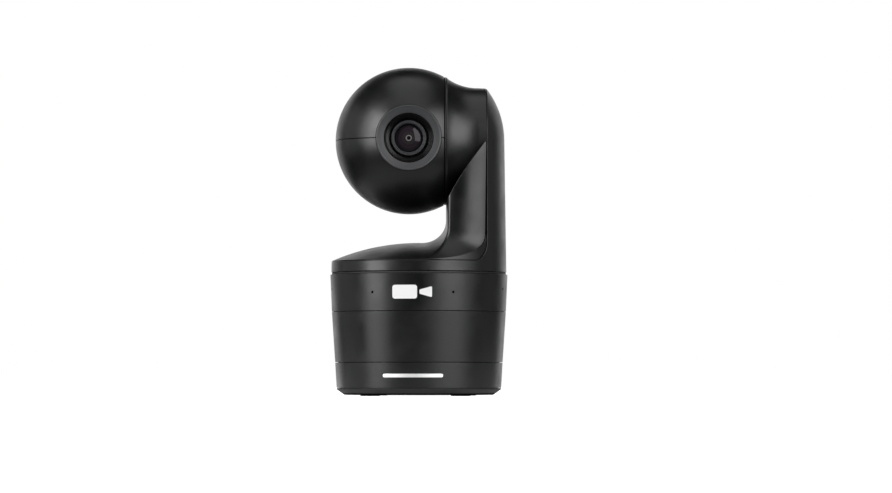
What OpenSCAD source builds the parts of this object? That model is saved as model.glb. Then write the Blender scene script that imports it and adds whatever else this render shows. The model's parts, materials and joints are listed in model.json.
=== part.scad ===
// Pan-tilt-zoom camera: a tapered round base, a turntable with a side arm, and a ball head.
// The base faces -Y and +Z is up. The origin is on the pan axis, at the underside of the feet.

/* [Base] */
// Diameter at the top of the microphone ring, the widest part
base_d = 145; // [143:0.5:148]
// Diameter where the microphone ring meets the barrel
waist_d = 142.4; // [141:0.2:144]
// Diameter where the barrel meets the lower ring
skirt_d = 137; // [136:0.2:139]
// Diameter at the top of the bottom chamfer
foot_d = 134.6; // [134:0.2:136]
// Diameter of the flat underside
sole_d = 122; // [118:1:126]
// Wall of the moulded covers
wall = 2.4; // [2:0.1:2.6]
// Gap between two covers that meet
seam = 0.4; // [0.2:0.1:0.6]
// Half of the arc that the light bar covers, in degrees
bar_half = 20; // [12:0.5:24]
// Height of the light bar
bar_h = 3; // [2:0.2:4]

/* [Turntable and arm] */
// Angle that the turntable stands at, from straight ahead
pan_rest = 4.4; // [-20:0.1:20]
// Height of the tilt axis above the feet
tilt_z = 208.5; // [206:0.5:212]
// Radius of the arm's outer wall at the height of the tilt axis
arm_r = 70; // [69:0.2:71]
// Distance from the pan axis to the seam between the arm's two covers
split_x = 55.2; // [54:0.2:56]
// Distance from the pan axis to the arm's inner face
inner_x = 22.2; // [21.6:0.2:23]
// Height of the middle of the domed top
dome_top = 125; // [123:0.5:127]
// Radius of the fillet between the dome and the arm
fillet_r = 20; // [14:0.5:19]

/* [Head] */
// Radius of the ball head
head_r = 60; // [58:0.5:60.5]
// Distance from the pan axis to the middle of the ball
head_x = -8.2; // [-9:0.1:-7]
// Distance from the pan axis to the flat side of the ball
face_x = 20.4; // [20:0.1:20.8]
// Outer radius of the ring round the lens
bezel_r = 26.5; // [25:0.5:28]
// Radius of the front lens
glass_r = 11.4; // [10:0.1:12]

/* [Drives] */
// Teeth on the pan gear, which sets the pan motor's place
pan_teeth = 90; // [86:4:90]
// Module of the pan gears
pan_module = 1; // [0.9:0.05:1]
// Teeth on the tilt gear, which sets the tilt motor's place
tilt_teeth = 70; // [66:2:70]
// Module of the tilt gears
tilt_module = 0.8; // [0.75:0.05:0.8]
// Teeth on each motor's pinion
pinion_teeth = 15; // [15:2:17]

/* [Hidden] */

$fn = 96;
eps = 0.01;
far = 200;            // longer than any cut needs
running = 0.05;       // radial clearance of a shaft in a bore
gap = 0.1;            // clearance round a piece that is set into another

// Colours
charcoal = [0.20, 0.20, 0.21];
black = [0.06, 0.06, 0.065];
steel = [0.62, 0.63, 0.65];
alloy = [0.72, 0.73, 0.75];
brass = [0.78, 0.62, 0.30];
board_green = [0.10, 0.30, 0.18];
white = [0.92, 0.92, 0.92];
glass = [0.10, 0.10, 0.14];

// Heights in the base
sole_z = 0.8;         // underside of the bottom plate, above the feet's underside
foot_z = 6.3;
skirt_z = 27.3;
waist_z = 68.7;
ring_z = 98.9;
floor_z = 3.6;        // upper face of the bottom plate
bar_z = 16.6;
badge_z = 83.9;

// Heights in the turntable
rim_z = 100.9;
rim_top = 109.4;
rim_r = 71.6;
dome_edge = 110;      // height at which the dome meets the rim

// Joint of the two arm covers: the corner is rounded by this much across and up
corner_x = 10.4;
corner_z = 15.8;

// Radius of the base's outside at a height
function base_r(z) = lookup(z, [
  [foot_z, foot_d / 2], [skirt_z, skirt_d / 2], [waist_z, waist_d / 2], [ring_z, base_d / 2]
]);

// Radius of the turntable's and arm's outside at a height
function arm_radius(z) = rim_r + (arm_r - rim_r) * (z - rim_z) / (tilt_z - rim_z);

// ---------------------------------------------------------------- shared shapes

// A ring of four profile corners, from radius ra at height za to radius rb at height zb
module tapered_ring(za, ra, zb, rb, t) {
  rotate_extrude()
    polygon([[ra - t, za], [ra, za], [rb, zb], [rb - t, zb]]);
}

// A lip inside the base that stands up behind a seam, so that the seam can't be seen through
module seam_lip(z) {
  r = base_r(z) - wall;
  rotate_extrude()
    polygon([
      [r - 1.3, z - 1.6], [r + 0.3, z - 1.6], [r + 0.3, z - seam], [r - gap, z - seam],
      [r - gap, z + 1.5], [r - 1.3, z + 1.5]
    ]);
}

module tube(r_out, r_in, z0, z1) {
  rotate_extrude()
    translate([r_in, z0])
      square([r_out - r_in, z1 - z0]);
}

module block(x0, x1, y0, y1, z0, z1) {
  translate([x0, y0, z0])
    cube([x1 - x0, y1 - y0, z1 - z0]);
}

// Stands along +X, with its foot at x
module x_rod(r, x, h) {
  translate([x, 0, 0])
    rotate([0, 90, 0])
      cylinder(r = r, h = h);
}

// Runs towards -Y, from depth y0 to depth y1
module front_rod(r, y0, y1) {
  rotate([90, 0, 0])
    translate([0, 0, -y1])
      cylinder(r = r, h = y1 - y0);
}

// A turned part on the optical axis; its profile is [radius, y]
module turned(profile) {
  rotate([-90, 0, 0])
    rotate_extrude()
      polygon(profile);
}

// A screw whose head stands on z and whose shank runs down from it
module screw(head_radius, head_h, shank_r, shank_h) {
  cylinder(r = head_radius, h = head_h);
  translate([0, 0, -shank_h])
    cylinder(r = shank_r, h = shank_h + eps);
}

module at_each(places) {
  for (p = places)
    translate(p)
      children();
}

// Involute of a circle, in degrees, at a pressure angle
function involute(a) = tan(a) * 180 / PI - a;
function polar(r, a) = [r * cos(a), r * sin(a)];

pressure = 20;
tooth_slack = 0.16;   // taken off each tooth's thickness, for backlash

// Outline of a spur gear with one tooth centred on angle 0, and `steps` chords to a flank
function gear_outline(m, teeth, steps) =
  let (
    pitch_r = m * teeth / 2,
    base_circle = pitch_r * cos(pressure),
    root_r = pitch_r - 1.25 * m,
    tip_r = pitch_r + 0.95 * m,
    start_r = max(base_circle, root_r),
    half = 90 / teeth - tooth_slack / 2 / pitch_r * 180 / PI + involute(pressure),
    flank = [
      for (i = [0 : steps])
        let (r = start_r + (tip_r - start_r) * i / steps)
          [r, half - involute(acos(min(1, base_circle / r)))]
    ],
    foot = root_r < start_r - 0.05 ? [[root_r, flank[0][1]]] : [],
    side = concat(foot, flank),
    n = len(side)
  )
  [
    for (k = [0 : teeth - 1], i = [0 : 2 * n - 1])
      let (
        p = i < n ? side[i] : side[2 * n - 1 - i],
        a = i < n ? -p[1] : p[1]
      )
        polar(p[0], 360 * k / teeth + a)
  ];

module spur_gear(m, teeth, h, steps) {
  linear_extrude(h)
    polygon(gear_outline(m, teeth, steps));
}

// Everything above the base turns with the turntable
module on_turntable() {
  rotate([0, 0, pan_rest])
    children();
}

// The head's frame: X along the tilt axis, the lens towards -Y
module in_head() {
  on_turntable()
    translate([head_x, 0, tilt_z])
      children();
}

// ---------------------------------------------------------------- base covers

insert_r = 6;
insert_h = 9;
thread_r = 2.6;       // tapping size of a 1/4 inch camera thread
foot_pads = [for (a = [45 : 90 : 315]) concat(polar(52, a), [0])];
pillar_spots = [for (a = [30, 150, 210, 330]) concat(polar(55.5, a), [0])];
pad_r = 8;
base_screw_head = 3;

module bottom_plate() {
  color(black)
    difference() {
      union() {
        rotate_extrude()
          polygon([
            [0, sole_z], [sole_d / 2, sole_z], [foot_d / 2, foot_z],
            [foot_d / 2 - wall, foot_z], [sole_d / 2 - wall, floor_z], [0, floor_z]
          ]);
        seam_lip(foot_z);
        translate([0, 0, floor_z - 1])
          cylinder(r = insert_r + 3, h = insert_h);
      }
      translate([0, 0, sole_z - 1])
        cylinder(r = insert_r, h = insert_h + 1);
      at_each(foot_pads)
        cylinder(r = pad_r + gap, h = 1.6);
      at_each(pillar_spots) {
        cylinder(r = base_screw_head + 0.2, h = 2.9);
        cylinder(r = 1.6, h = floor_z + 1);
      }
    }
}

module rubber_feet() {
  color(black)
    at_each(foot_pads)
      cylinder(r = pad_r, h = 1.6);
}

module tripod_insert() {
  color(brass)
    translate([0, 0, sole_z])
      difference() {
        cylinder(r = insert_r - 0.02, h = insert_h - gap);
        translate([0, 0, -1])
          cylinder(r = thread_r, h = insert_h + 2);
      }
}

module base_screws() {
  color(steel) {
    at_each(pillar_spots) {
      translate([0, 0, 2.9])
        mirror([0, 0, 1])
          base_screw();
      translate([0, 0, deck_z + deck_t])
        base_screw();
    }
    at_each(board_corners)
      translate([0, 0, jack_z])
        base_screw();
  }
}

module base_screw() {
  screw(base_screw_head, 1.9, 1.4, 8);
}

// A slot that follows the base's curve, centred on -Y, with round ends
module arc_slot(r0, r1, z, h, half) {
  rotate([0, 0, -90 - half])
    rotate_extrude(angle = 2 * half)
      translate([r0, z - h / 2])
        square([r1 - r0, h]);
  for (side = [-1, 1])
    rotate([0, 0, side * half])
      translate([0, 0, z])
        front_rod(h / 2, -r1, -r0);
}

module lower_ring() {
  color(charcoal) {
    difference() {
      tapered_ring(foot_z + seam / 2, base_r(foot_z), skirt_z - seam / 2, base_r(skirt_z), wall);
      arc_slot(60, 75, bar_z, bar_h + 0.6, bar_half + 0.2);
    }
    seam_lip(skirt_z);
  }
}

bar_r = base_r(bar_z) - 0.4;

module light_bar() {
  color(white)
    arc_slot(bar_r - 3, bar_r, bar_z, bar_h, bar_half);
}

led_count = 9;
led_board_r = 63;

module light_bar_board() {
  color(board_green)
    rotate([0, 0, -90 - bar_half])
      rotate_extrude(angle = 2 * bar_half)
        translate([led_board_r - 1.4, bar_z - 5])
          square([1.4, 10]);
  color(white)
    for (i = [0 : led_count - 1])
      rotate([0, 0, (i / (led_count - 1) - 0.5) * 1.8 * bar_half])
        block(-1.5, 1.5, -led_board_r - 1, -led_board_r + 0.3, bar_z - 1.2, bar_z + 1.2);
}

port_w = 38;          // half the width of the port recess
port_z0 = 34;
port_z1 = 62;
port_y = 50;          // the recess's back face

module barrel() {
  color(charcoal) {
    difference() {
      tapered_ring(skirt_z + seam / 2, base_r(skirt_z), waist_z - seam / 2, base_r(waist_z), wall);
      block(-port_w, port_w, port_y, far, port_z0, port_z1);
    }
    seam_lip(waist_z);
  }
}

// Places and sizes of the jacks: left, right, height, and how far each runs forward
board_z = 36;
board_t = 1.6;
jack_z = board_z + board_t;
jack_y = port_y + 0.4;
power_box = [-34, -24, 11, 14.4];
audio_box = [-23.2, -16.8, 14, 14.4];
ethernet_box = [-15.6, 0.4, 13.5, 21.4];
hdmi_box = [4, 19, 6.4, 12.4];
usb_box = [22, 34, 11, 16.4];
jack_boxes = [power_box, audio_box, ethernet_box, hdmi_box, usb_box];

module jack_body(b, grow = 0) {
  block(b[0] - grow, b[1] + grow, jack_y - b[3] - grow, jack_y + 5 * grow,
        jack_z - grow, jack_z + b[2] + grow);
}

module port_panel() {
  color(black)
    difference() {
      intersection() {
        block(-port_w - 2, port_w + 2, port_y - 2, far, port_z0 - 2, port_z1 + 2);
        cylinder(r = skirt_d / 2 - wall - 0.3, h = far);
      }
      block(-port_w, port_w, port_y, far, port_z0, port_z1);
      for (b = jack_boxes)
        jack_body(b, gap);
    }
}

// A socket in a jack: half width, height and depth of the hollow, about the middle of its face
module socket(b, half_w, z0, z1, depth) {
  middle = (b[0] + b[1]) / 2;
  block(middle - half_w, middle + half_w, jack_y - depth, far, jack_z + z0, jack_z + z1);
}

module ethernet_jack() {
  b = ethernet_box;
  middle = (b[0] + b[1]) / 2;
  color(steel)
    difference() {
      jack_body(b);
      socket(b, 5.9, 2.6, 10.6, 14);
      socket(b, 2.2, 0.9, 2.7, 14);
    }
  color(brass)
    for (i = [0 : 7])
      translate([middle - 3.6 + i * 1.016, jack_y - 13, jack_z + 10.2])
        cube([0.4, 10, 0.4]);
}

module usb_jack() {
  b = usb_box;
  middle = (b[0] + b[1]) / 2;
  color(steel)
    difference() {
      jack_body(b);
      socket(b, 4.3, 1.4, 9.4, 10);
    }
  color(white)
    block(middle - 2.8, middle + 2.8, jack_y - 10, jack_y - 1.2, jack_z + 7, jack_z + 9.4);
}

module hdmi_jack() {
  b = hdmi_box;
  middle = (b[0] + b[1]) / 2;
  color(steel)
    difference() {
      jack_body(b);
      socket(b, 7, 0.8, 5.6, 9);
    }
  color(black)
    block(middle - 5.6, middle + 5.6, jack_y - 9, jack_y - 1.5, jack_z + 2.8, jack_z + 4);
}

module power_jack() {
  b = power_box;
  middle = (b[0] + b[1]) / 2;
  color(black)
    difference() {
      jack_body(b);
      socket(b, 3.8, 2.2, 9, 11);
    }
  color(brass)
    for (side = [-1, 1])
      block(middle + side * 2.9 - 0.5, middle + side * 2.9 + 0.5, jack_y - 11, jack_y - 3,
            jack_z + 2.2, jack_z + 3.4);
}

audio_r = 1.8;        // bore of a 3.5 mm audio socket
audio_depth = 12;

module audio_jacks() {
  b = audio_box;
  middle = (b[0] + b[1]) / 2;
  color(black)
    difference() {
      jack_body(b);
      for (z = [3.5, 10.5])
        translate([middle, 0, jack_z + z])
          front_rod(audio_r, jack_y - audio_depth, jack_y + 1);
    }
}

// ---------------------------------------------------------------- inside the base

board_half = 42;
board_corners = [[-37, -38, 0], [37, -38, 0], [-37, 38, 0], [37, 38, 0]];
chip_h = 3;

module main_board() {
  color(board_green)
    difference() {
      block(-board_half, board_half, -44, port_y - 2.2, board_z, jack_z);
      at_each(board_corners)
        cylinder(r = 1.6, h = far);
    }
  color(black) {
    block(-10, 10, -16, 4, jack_z, jack_z + chip_h);
    block(-30, -20, -30, -18, jack_z, jack_z + 1.5);
    block(-30, -20, -12, 0, jack_z, jack_z + 1.5);
    block(18, 28, -32, -22, jack_z, jack_z + 4);
  }
  color(alloy)
    for (x = [-2, 8, 18, 28])
      translate([x, -37, jack_z])
        cylinder(r = 3, h = 8);
}

fin_count = 8;

module heatsink() {
  color(alloy) {
    block(-16, 16, -20, 8, jack_z + chip_h, jack_z + chip_h + 2.5);
    for (i = [0 : fin_count - 1])
      translate([-16 + i * 30.6 / (fin_count - 1), -20, jack_z + chip_h + 2])
        cube([1.4, 28, 12]);
  }
}

module board_standoffs() {
  color(steel)
    at_each(board_corners)
      translate([0, 0, floor_z])
        difference() {
          cylinder(r = 3, h = board_z - floor_z, $fn = 6);
          translate([0, 0, board_z - floor_z - 8])
            cylinder(r = 1.5, h = 10, $fn = 24);
        }
}

deck_z = 84;
deck_t = 4;
deck_r = 65;

module deck_pillars() {
  color(steel)
    at_each(pillar_spots)
      translate([0, 0, floor_z])
        difference() {
          cylinder(r = 4, h = deck_z - floor_z);
          translate([0, 0, -1])
            cylinder(r = 1.5, h = 11);
          translate([0, 0, deck_z - floor_z - 9])
            cylinder(r = 1.5, h = 10);
        }
}

// Pan drive
race_outer = 31;
race_z = 80;
race_h = 7;
ball_path = 25.5;
ball_r = 2.2;
ball_count = 22;
spindle_r = 20;
spindle_bore = 16;
shoulder_r = 23;
flange_z = 97.2;
flange_r = 32;
table_z = 101.2;
table_t = 2.5;
gear_z = 92.2;
gear_h = 5;
pan_motor_y = -(pan_teeth + pinion_teeth) * pan_module / 2;
pan_motor_r = 12;
stop_r = 3;
stop_path = 38;       // two 3 mm pins on this radius touch 9 degrees apart
shaft_r = 1.5;
pan_can_h = 20;
boss_r = 5;

module base_deck() {
  color(alloy)
    difference() {
      union() {
        translate([0, 0, deck_z])
          cylinder(r = deck_r, h = deck_t);
        translate([0, 0, race_z - 1.5])
          cylinder(r = race_outer + 4, h = deck_z - race_z + 2);
        translate([0, stop_path, deck_z + deck_t - 1])
          cylinder(r = stop_r, h = 4.6);
      }
      translate([0, 0, race_z])
        cylinder(r = race_outer, h = far);
      translate([0, 0, race_z - 5])
        cylinder(r = race_outer - 2, h = far);
      translate([0, pan_motor_y, deck_z - 1])
        cylinder(r = boss_r + gap, h = far);
      at_each(pillar_spots)
        cylinder(r = 1.6, h = far);
    }
}

module race_groove() {
  translate([0, 0, race_z + race_h / 2])
    rotate_extrude()
      translate([ball_path, 0])
        circle(r = ball_r + running);
}

module pan_bearing_outer_race() {
  color(steel)
    difference() {
      tube(race_outer, ball_path + 1.8, race_z, race_z + race_h);
      race_groove();
    }
}

module pan_bearing_inner_race() {
  color(steel)
    difference() {
      tube(ball_path - 1.8, spindle_r, race_z, race_z + race_h);
      race_groove();
    }
}

module pan_bearing_balls() {
  color(alloy) {
    tube(ball_path + 0.7, ball_path - 0.7, race_z + race_h / 2 - 1, race_z + race_h / 2 + 1);
    for (i = [0 : ball_count - 1])
      rotate([0, 0, 360 * i / ball_count])
        translate([ball_path, 0, race_z + race_h / 2])
          sphere(r = ball_r);
  }
}

module pan_motor() {
  color(steel)
    translate([0, pan_motor_y, 0])
      difference() {
        union() {
          translate([0, 0, deck_z - pan_can_h])
            cylinder(r = pan_motor_r, h = pan_can_h);
          translate([0, 0, deck_z - 1])
            cylinder(r = boss_r, h = 2.5);
        }
        translate([0, 0, deck_z - pan_can_h + 3])
          cylinder(r = shaft_r + running, h = far);
      }
}

module pan_pinion() {
  color(brass)
    translate([0, pan_motor_y, 0]) {
      translate([0, 0, deck_z - pan_can_h + 3.2])
        cylinder(r = shaft_r, h = pan_can_h + 9.8);
      translate([0, 0, gear_z - 0.5])
        rotate([0, 0, 90])
          spur_gear(pan_module, pinion_teeth, gear_h + 0.9, 4);
    }
}

// A hole with this many flat sides clears the spindle's round shoulder
gear_bore_sides = 72;

module pan_gear() {
  bore = [for (i = [0 : gear_bore_sides - 1]) polar(shoulder_r + gap, 360 * i / gear_bore_sides)];
  color(white)
    translate([0, 0, gear_z])
      linear_extrude(gear_h)
        difference() {
          polygon(gear_outline(pan_module, pan_teeth, 1));
          polygon(bore);
        }
}

module pan_stop_pin() {
  color(steel)
    on_turntable()
      translate([0, -stop_path, gear_z - 3.6])
        cylinder(r = stop_r, h = 3.6);
}

module pan_spindle() {
  color(alloy)
    rotate_extrude()
      polygon([
        [spindle_bore, race_z - 4], [spindle_r, race_z - 4], [spindle_r, race_z + race_h],
        [shoulder_r, race_z + race_h], [shoulder_r, flange_z], [flange_r, flange_z],
        [flange_r, table_z], [spindle_bore, table_z]
      ]);
}

module spindle_nut() {
  color(steel)
    tube(spindle_r + 4, spindle_r, race_z - 3.2, race_z);
}

module top_cover_ring() {
  rim_out = arm_radius(rim_z) - 0.4;
  color(black) {
    tube(base_r(ring_z) - wall - gap, flange_r + 2, flange_z + 0.8, flange_z + 2.2);
    tube(rim_out, rim_out - 2.6, ring_z + 0.2, rim_z - 0.45);
  }
}

// ---------------------------------------------------------------- microphone ring

// Angle from -Y and height of each microphone
mic_spots = [[-76, 87], [-27, 83.7], [27, 83.7], [76, 87], [135, 87], [-135, 87]];
mic_hole_r = 1;

module at_microphones() {
  for (m = mic_spots)
    rotate([0, 0, m[0]])
      translate([0, 0, m[1]])
        children();
}

module microphone_ring() {
  color(charcoal)
    difference() {
      tapered_ring(waist_z + seam / 2, base_r(waist_z), ring_z, base_r(ring_z), wall);
      at_microphones()
        front_rod(mic_hole_r, -75, -60);
    }
}

module microphone_capsules() {
  color(steel)
    at_microphones()
      front_rod(3, -69.2, -67);
}

badge_w = 32;
badge_h = 11;

// A plain camera sign: a round-cornered body and a tapered snout
module badge_outline() {
  r = 2;
  body_w = 20;
  translate([-badge_w / 2 + r, -badge_h / 2 + r]) {
    translate([-r, 0])
      square([body_w, badge_h - 2 * r]);
    translate([0, -r])
      square([body_w - 2 * r, badge_h]);
    for (x = [0, body_w - 2 * r], y = [0, badge_h - 2 * r])
      translate([x, y])
        circle(r = r);
  }
  polygon([[6, -1.6], [badge_w / 2, -4.4], [badge_w / 2, 4.4], [6, 1.6]]);
}

module front_badge() {
  color(white)
    difference() {
      intersection() {
        translate([0, 0, badge_z])
          rotate([90, 0, 0])
            linear_extrude(80)
              badge_outline();
        badge_cone(0.35);
      }
      badge_cone(0.02);
    }
}

module badge_cone(out) {
  translate([0, 0, waist_z])
    cylinder(r1 = base_r(waist_z) + out, r2 = base_r(ring_z) + out, h = ring_z - waist_z);
}

// ---------------------------------------------------------------- turntable and arm covers

module turntable() {
  color(alloy)
    on_turntable()
      difference() {
        tube(rim_r - wall - 0.3, spindle_bore, table_z, table_z + table_t);
        for (s = table_screw_spots)
          translate(s)
            cylinder(r = 1.6, h = far);
      }
}

table_screw_spots = [[36, -13, 0], [36, 13, 0], [43, -13, 0], [43, 13, 0]];

// The whole turned outline of turntable and arm, taken in by `inset`
module arm_envelope(inset, z0) {
  translate([0, 0, z0])
    cylinder(r1 = arm_radius(z0) - inset, r2 = arm_r - inset, h = tilt_z - z0);
  intersection() {
    translate([0, 0, tilt_z])
      sphere(r = arm_r - inset);
    block(0, far, -far / 2, far / 2, tilt_z, tilt_z + far);
  }
}

// Where the front cover is, seen from the front, with the corner rounded; `back` draws it in
module cover_zone(back) {
  corner_steps = 10;
  x1 = split_x - back;
  z0 = rim_top + back;
  corner = [
    for (i = [0 : corner_steps])
      let (a = 90 * i / corner_steps)
        [x1 - corner_x * (1 - sin(a)), z0 + corner_z * (1 - cos(a))]
  ];
  rotate([90, 0, 0])
    translate([0, 0, -far / 2])
      linear_extrude(far)
        polygon(concat([[-far / 2, z0]], corner, [[x1, far * 1.5], [-far / 2, far * 1.5]]));
}

module arm_outer_cover() {
  color(charcoal)
    on_turntable()
      difference() {
        arm_envelope(0, rim_z);
        arm_envelope(wall, rim_z - 1);
        cover_zone(0);
      }
}

dome_rise = dome_top - dome_edge;
dome_r = (pow(rim_r, 2) + pow(dome_rise, 2)) / (2 * dome_rise);

function dome_height(x, y, inset) =
  dome_top - dome_r + sqrt(pow(dome_r - inset, 2) - x * x - y * y);

module dome(inset, z0) {
  intersection() {
    translate([0, 0, dome_top - dome_r])
      sphere(r = dome_r - inset);
    translate([0, 0, z0])
      cylinder(r = arm_radius(rim_top) - inset, h = dome_top - z0 + 5);
  }
}

// The arm in plan, from the middle of its inner side round the front to the seam: a nearly
// flat side, a tight corner, and a full front that meets the outer cover at an angle
arm_front_r = 42;
arm_crest_x = 32;
arm_corner_r = 3;
arm_bulge = 0.8;
arm_top_y = sqrt(pow(arm_r, 2) - pow(split_x, 2));
front_y = arm_top_y - sqrt(pow(arm_front_r, 2) - pow(split_x - arm_crest_x, 2));
front_end = asin((split_x - arm_crest_x) / arm_front_r);
turn_x = inner_x + arm_bulge + arm_corner_r;
front_start = asin((arm_crest_x - turn_x) / (arm_front_r - arm_corner_r));
corner_y = front_y + (arm_front_r - arm_corner_r) * cos(front_start);
arm_half = concat(
  [for (i = [0 : 2]) [inner_x + arm_bulge * pow(i / 3, 2), corner_y * i / 3]],
  [
    for (i = [0 : 6])
      let (b = (90 - front_start) * i / 6)
        [turn_x - arm_corner_r * cos(b), corner_y + arm_corner_r * sin(b)]
  ],
  [
    for (i = [1 : 8])
      let (g = (front_start + front_end) * i / 8 - front_start)
        [arm_crest_x + arm_front_r * sin(g), front_y + arm_front_r * cos(g)]
  ]
);
half_count = len(arm_half);
flare_steps = 7;

function arm_ring(half_x, half_y, close_x) = concat(
  [
    for (i = [1 - half_count : half_count - 1])
      let (p = arm_half[abs(i)])
        [
          split_x - half_x * (split_x - p[0]) / (split_x - inner_x),
          sign(i) * half_y * p[1] / arm_top_y
        ]
  ],
  [[close_x, half_y], [close_x, -half_y]]
);

// Height of the crease where the arm meets the collar
function crease(x) =
  let (t = max(split_x - x, 0))
    tilt_z - 1.36 * t - 0.012 * pow(max(t - 12, 0), 2);

function at_crease(ring, drop) = [for (p = ring) [p[0], p[1], crease(p[0]) - drop]];

function with_height(ring, inset, lift) =
  [for (p = ring) [p[0], p[1], dome_height(p[0], p[1], inset) + lift]];

function at_height(ring, z) = [for (p = ring) [p[0], p[1], z]];

module arm_flank(inset, z0) {
  half_x = split_x - inner_x - inset;
  foot_y = sqrt(pow(arm_radius(rim_top), 2) - pow(split_x, 2)) - inset;
  r = fillet_r + inset;
  sink = 0.4;
  close_x = split_x + 1;
  flare = [
    for (i = [0 : flare_steps])
      let (a = 90 * i / flare_steps, out = r * (1 - cos(a)))
        with_height(arm_ring(half_x + out, foot_y + out, close_x), inset,
                    r * (1 - sin(a)) - sink * i / flare_steps)
  ];
  rings = concat(
    [at_crease(arm_ring(half_x, arm_top_y - inset, close_x), 1.7 * inset)],
    flare,
    [at_height(arm_ring(half_x + r, foot_y + r, close_x), z0)]
  );
  n = 2 * half_count + 1;
  last = len(rings) - 1;
  top = [
    for (i = [0 : half_count - 3])
      let (j = 2 * half_count - 2 - i)
        [i, i + 1, j - 1, j]
  ];
  sides = [
    for (k = [0 : last - 1], i = [0 : n - 1], half = [0, 1])
      let (a = k * n + i, b = k * n + (i + 1) % n)
        half == 0 ? [a, b + n, b] : [a, a + n, b + n]
  ];
  polyhedron(
    points = [for (ring = rings, p = ring) p],
    faces = concat(
      top,
      [
        [half_count - 2, half_count - 1, half_count],
        [n - 1, 0, 2 * half_count - 2, n - 2]
      ],
      sides,
      [[for (i = [n - 1 : -1 : 0]) last * n + i]]
    )
  );
}

// The collar between the ball and the arm: it narrows in a hollow curve, then runs straight
hub_x = face_x + 0.8;
hub_bend_x = 48;
hub_steps = 9;
hub_end_r = arm_top_y;
hub_face_r = sqrt(pow(head_r, 2) - pow(face_x - head_x, 2));
hub_drop = hub_face_r - hub_end_r - 0.3;
hub_run = hub_bend_x - hub_x;
hub_curve = (pow(hub_run, 2) + pow(hub_drop, 2)) / (2 * hub_drop);

module hub(inset) {
  bend = [
    for (i = [0 : hub_steps])
      let (dx = hub_run * (1 - i / hub_steps))
        [
          hub_end_r + 0.3 + hub_curve - sqrt(pow(hub_curve, 2) - dx * dx) - inset,
          max(hub_x + inset, hub_bend_x - dx)
        ]
  ];
  translate([0, 0, tilt_z])
    rotate([0, 90, 0])
      rotate_extrude()
        polygon(concat(
          [[0, hub_x + inset]], bend, [[hub_end_r - inset, split_x + 1], [0, split_x + 1]]
        ));
}

module arm_front_cover() {
  color(charcoal)
    on_turntable()
      difference() {
        intersection() {
          union() {
            dome(0, rim_top + seam);
            arm_flank(0, rim_top);
            hub(0);
          }
          cover_zone(seam);
          arm_envelope(0, rim_z);
        }
        intersection() {
          union() {
            dome(wall, rim_z);
            arm_flank(wall, rim_z);
            hub(wall);
          }
          arm_envelope(wall, rim_z);
        }
        translate([0, 0, tilt_z])
          x_rod(tilt_hole_r, hub_x - 1, 10);
      }
}

// ---------------------------------------------------------------- inside the arm

tilt_hole_r = 16;
frame_x = 29;
frame_t = 2.5;
frame_half = 18;
frame_z = table_z + table_t + gap;
frame_face = frame_x + frame_t;
bush_r = 11.5;
shaft_big_r = 8.5;
block_r = 14;
block_x0 = 25;
block_x1 = 46;
tilt_gear_x = 47.5;
tilt_gear_h = 4;
tilt_motor_z = tilt_z - (tilt_teeth + pinion_teeth) * tilt_module / 2;
tilt_motor_r = 13;
tilt_can_h = 14;
driver_x = 57;
plug_z = 127;
post_spots = [for (y = [-10, 10], z = [120, 150]) [0, y, z]];

module arm_frame() {
  rib_h = 18;
  color(alloy)
    on_turntable()
      difference() {
        union() {
          block(frame_x, frame_face, -frame_half, frame_half, frame_z, tilt_z);
          translate([0, 0, tilt_z])
            x_rod(frame_half, frame_x, frame_t);
          block(frame_x, 48, -frame_half, frame_half, frame_z, frame_z + frame_t);
          for (y = [-frame_half, frame_half - 2])
            translate([frame_x + 1, y + 2, frame_z + 1])
              rotate([90, 0, 0])
                linear_extrude(2)
                  polygon([[0, 0], [rib_h, 0], [0, 1.3 * rib_h]]);
          at_each(post_spots)
            x_rod(2.5, frame_x + 1, driver_x - frame_x - 1);
        }
        translate([0, 0, tilt_z])
          x_rod(block_r, frame_x - 1, frame_t + 2);
        block(frame_x - 1, frame_face + 1, -6, 6, 110, 126);
        for (s = table_screw_spots)
          translate(s)
            cylinder(r = 1.6, h = frame_z + frame_t + 1);
      }
}

module turntable_screws() {
  color(steel)
    on_turntable()
      at_each(table_screw_spots)
        translate([0, 0, frame_z + frame_t])
          screw(2.6, 1.6, 1.4, 4.8);
}

module tilt_bearing_block() {
  color(alloy)
    on_turntable()
      translate([0, 0, tilt_z])
        difference() {
          union() {
            x_rod(block_r, block_x0, block_x1 - block_x0);
            x_rod(block_r + 2, frame_face, 2.5);
          }
          x_rod(bush_r, block_x0 - 1, far);
        }
}

module tilt_bushes() {
  color(brass)
    on_turntable()
      translate([0, 0, tilt_z])
        for (x = [block_x0, block_x1 - 6])
          difference() {
            x_rod(bush_r, x, 6);
            x_rod(shaft_big_r + running, x - 1, 8);
          }
}

module tilt_motor() {
  color(steel)
    on_turntable()
      translate([0, 0, tilt_motor_z])
        difference() {
          union() {
            x_rod(tilt_motor_r, frame_face + gap, tilt_can_h);
            x_rod(4, frame_face + tilt_can_h, 1.1);
          }
          x_rod(shaft_r + running, frame_face + 3, far);
        }
}

module tilt_pinion() {
  color(brass)
    on_turntable()
      translate([0, 0, tilt_motor_z]) {
        x_rod(shaft_r, frame_face + 3.2, tilt_gear_x + tilt_gear_h + 1 - frame_face - 3.2);
        translate([tilt_gear_x - 0.4, 0, 0])
          rotate([0, 90, 0])
            spur_gear(tilt_module, pinion_teeth, tilt_gear_h + 0.8, 4);
      }
}

module driver_board() {
  color(board_green)
    on_turntable()
      block(driver_x, driver_x + 1.6, -20, 20, 112, 168);
  color(black)
    on_turntable() {
      block(driver_x + 1.6, driver_x + 3, -6, 6, 136, 148);
      block(driver_x + 1.6, driver_x + 3, -6, 6, 154, 162);
      block(driver_x - 5, driver_x, -5, 5, plug_z, plug_z + 6);
    }
}

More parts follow.
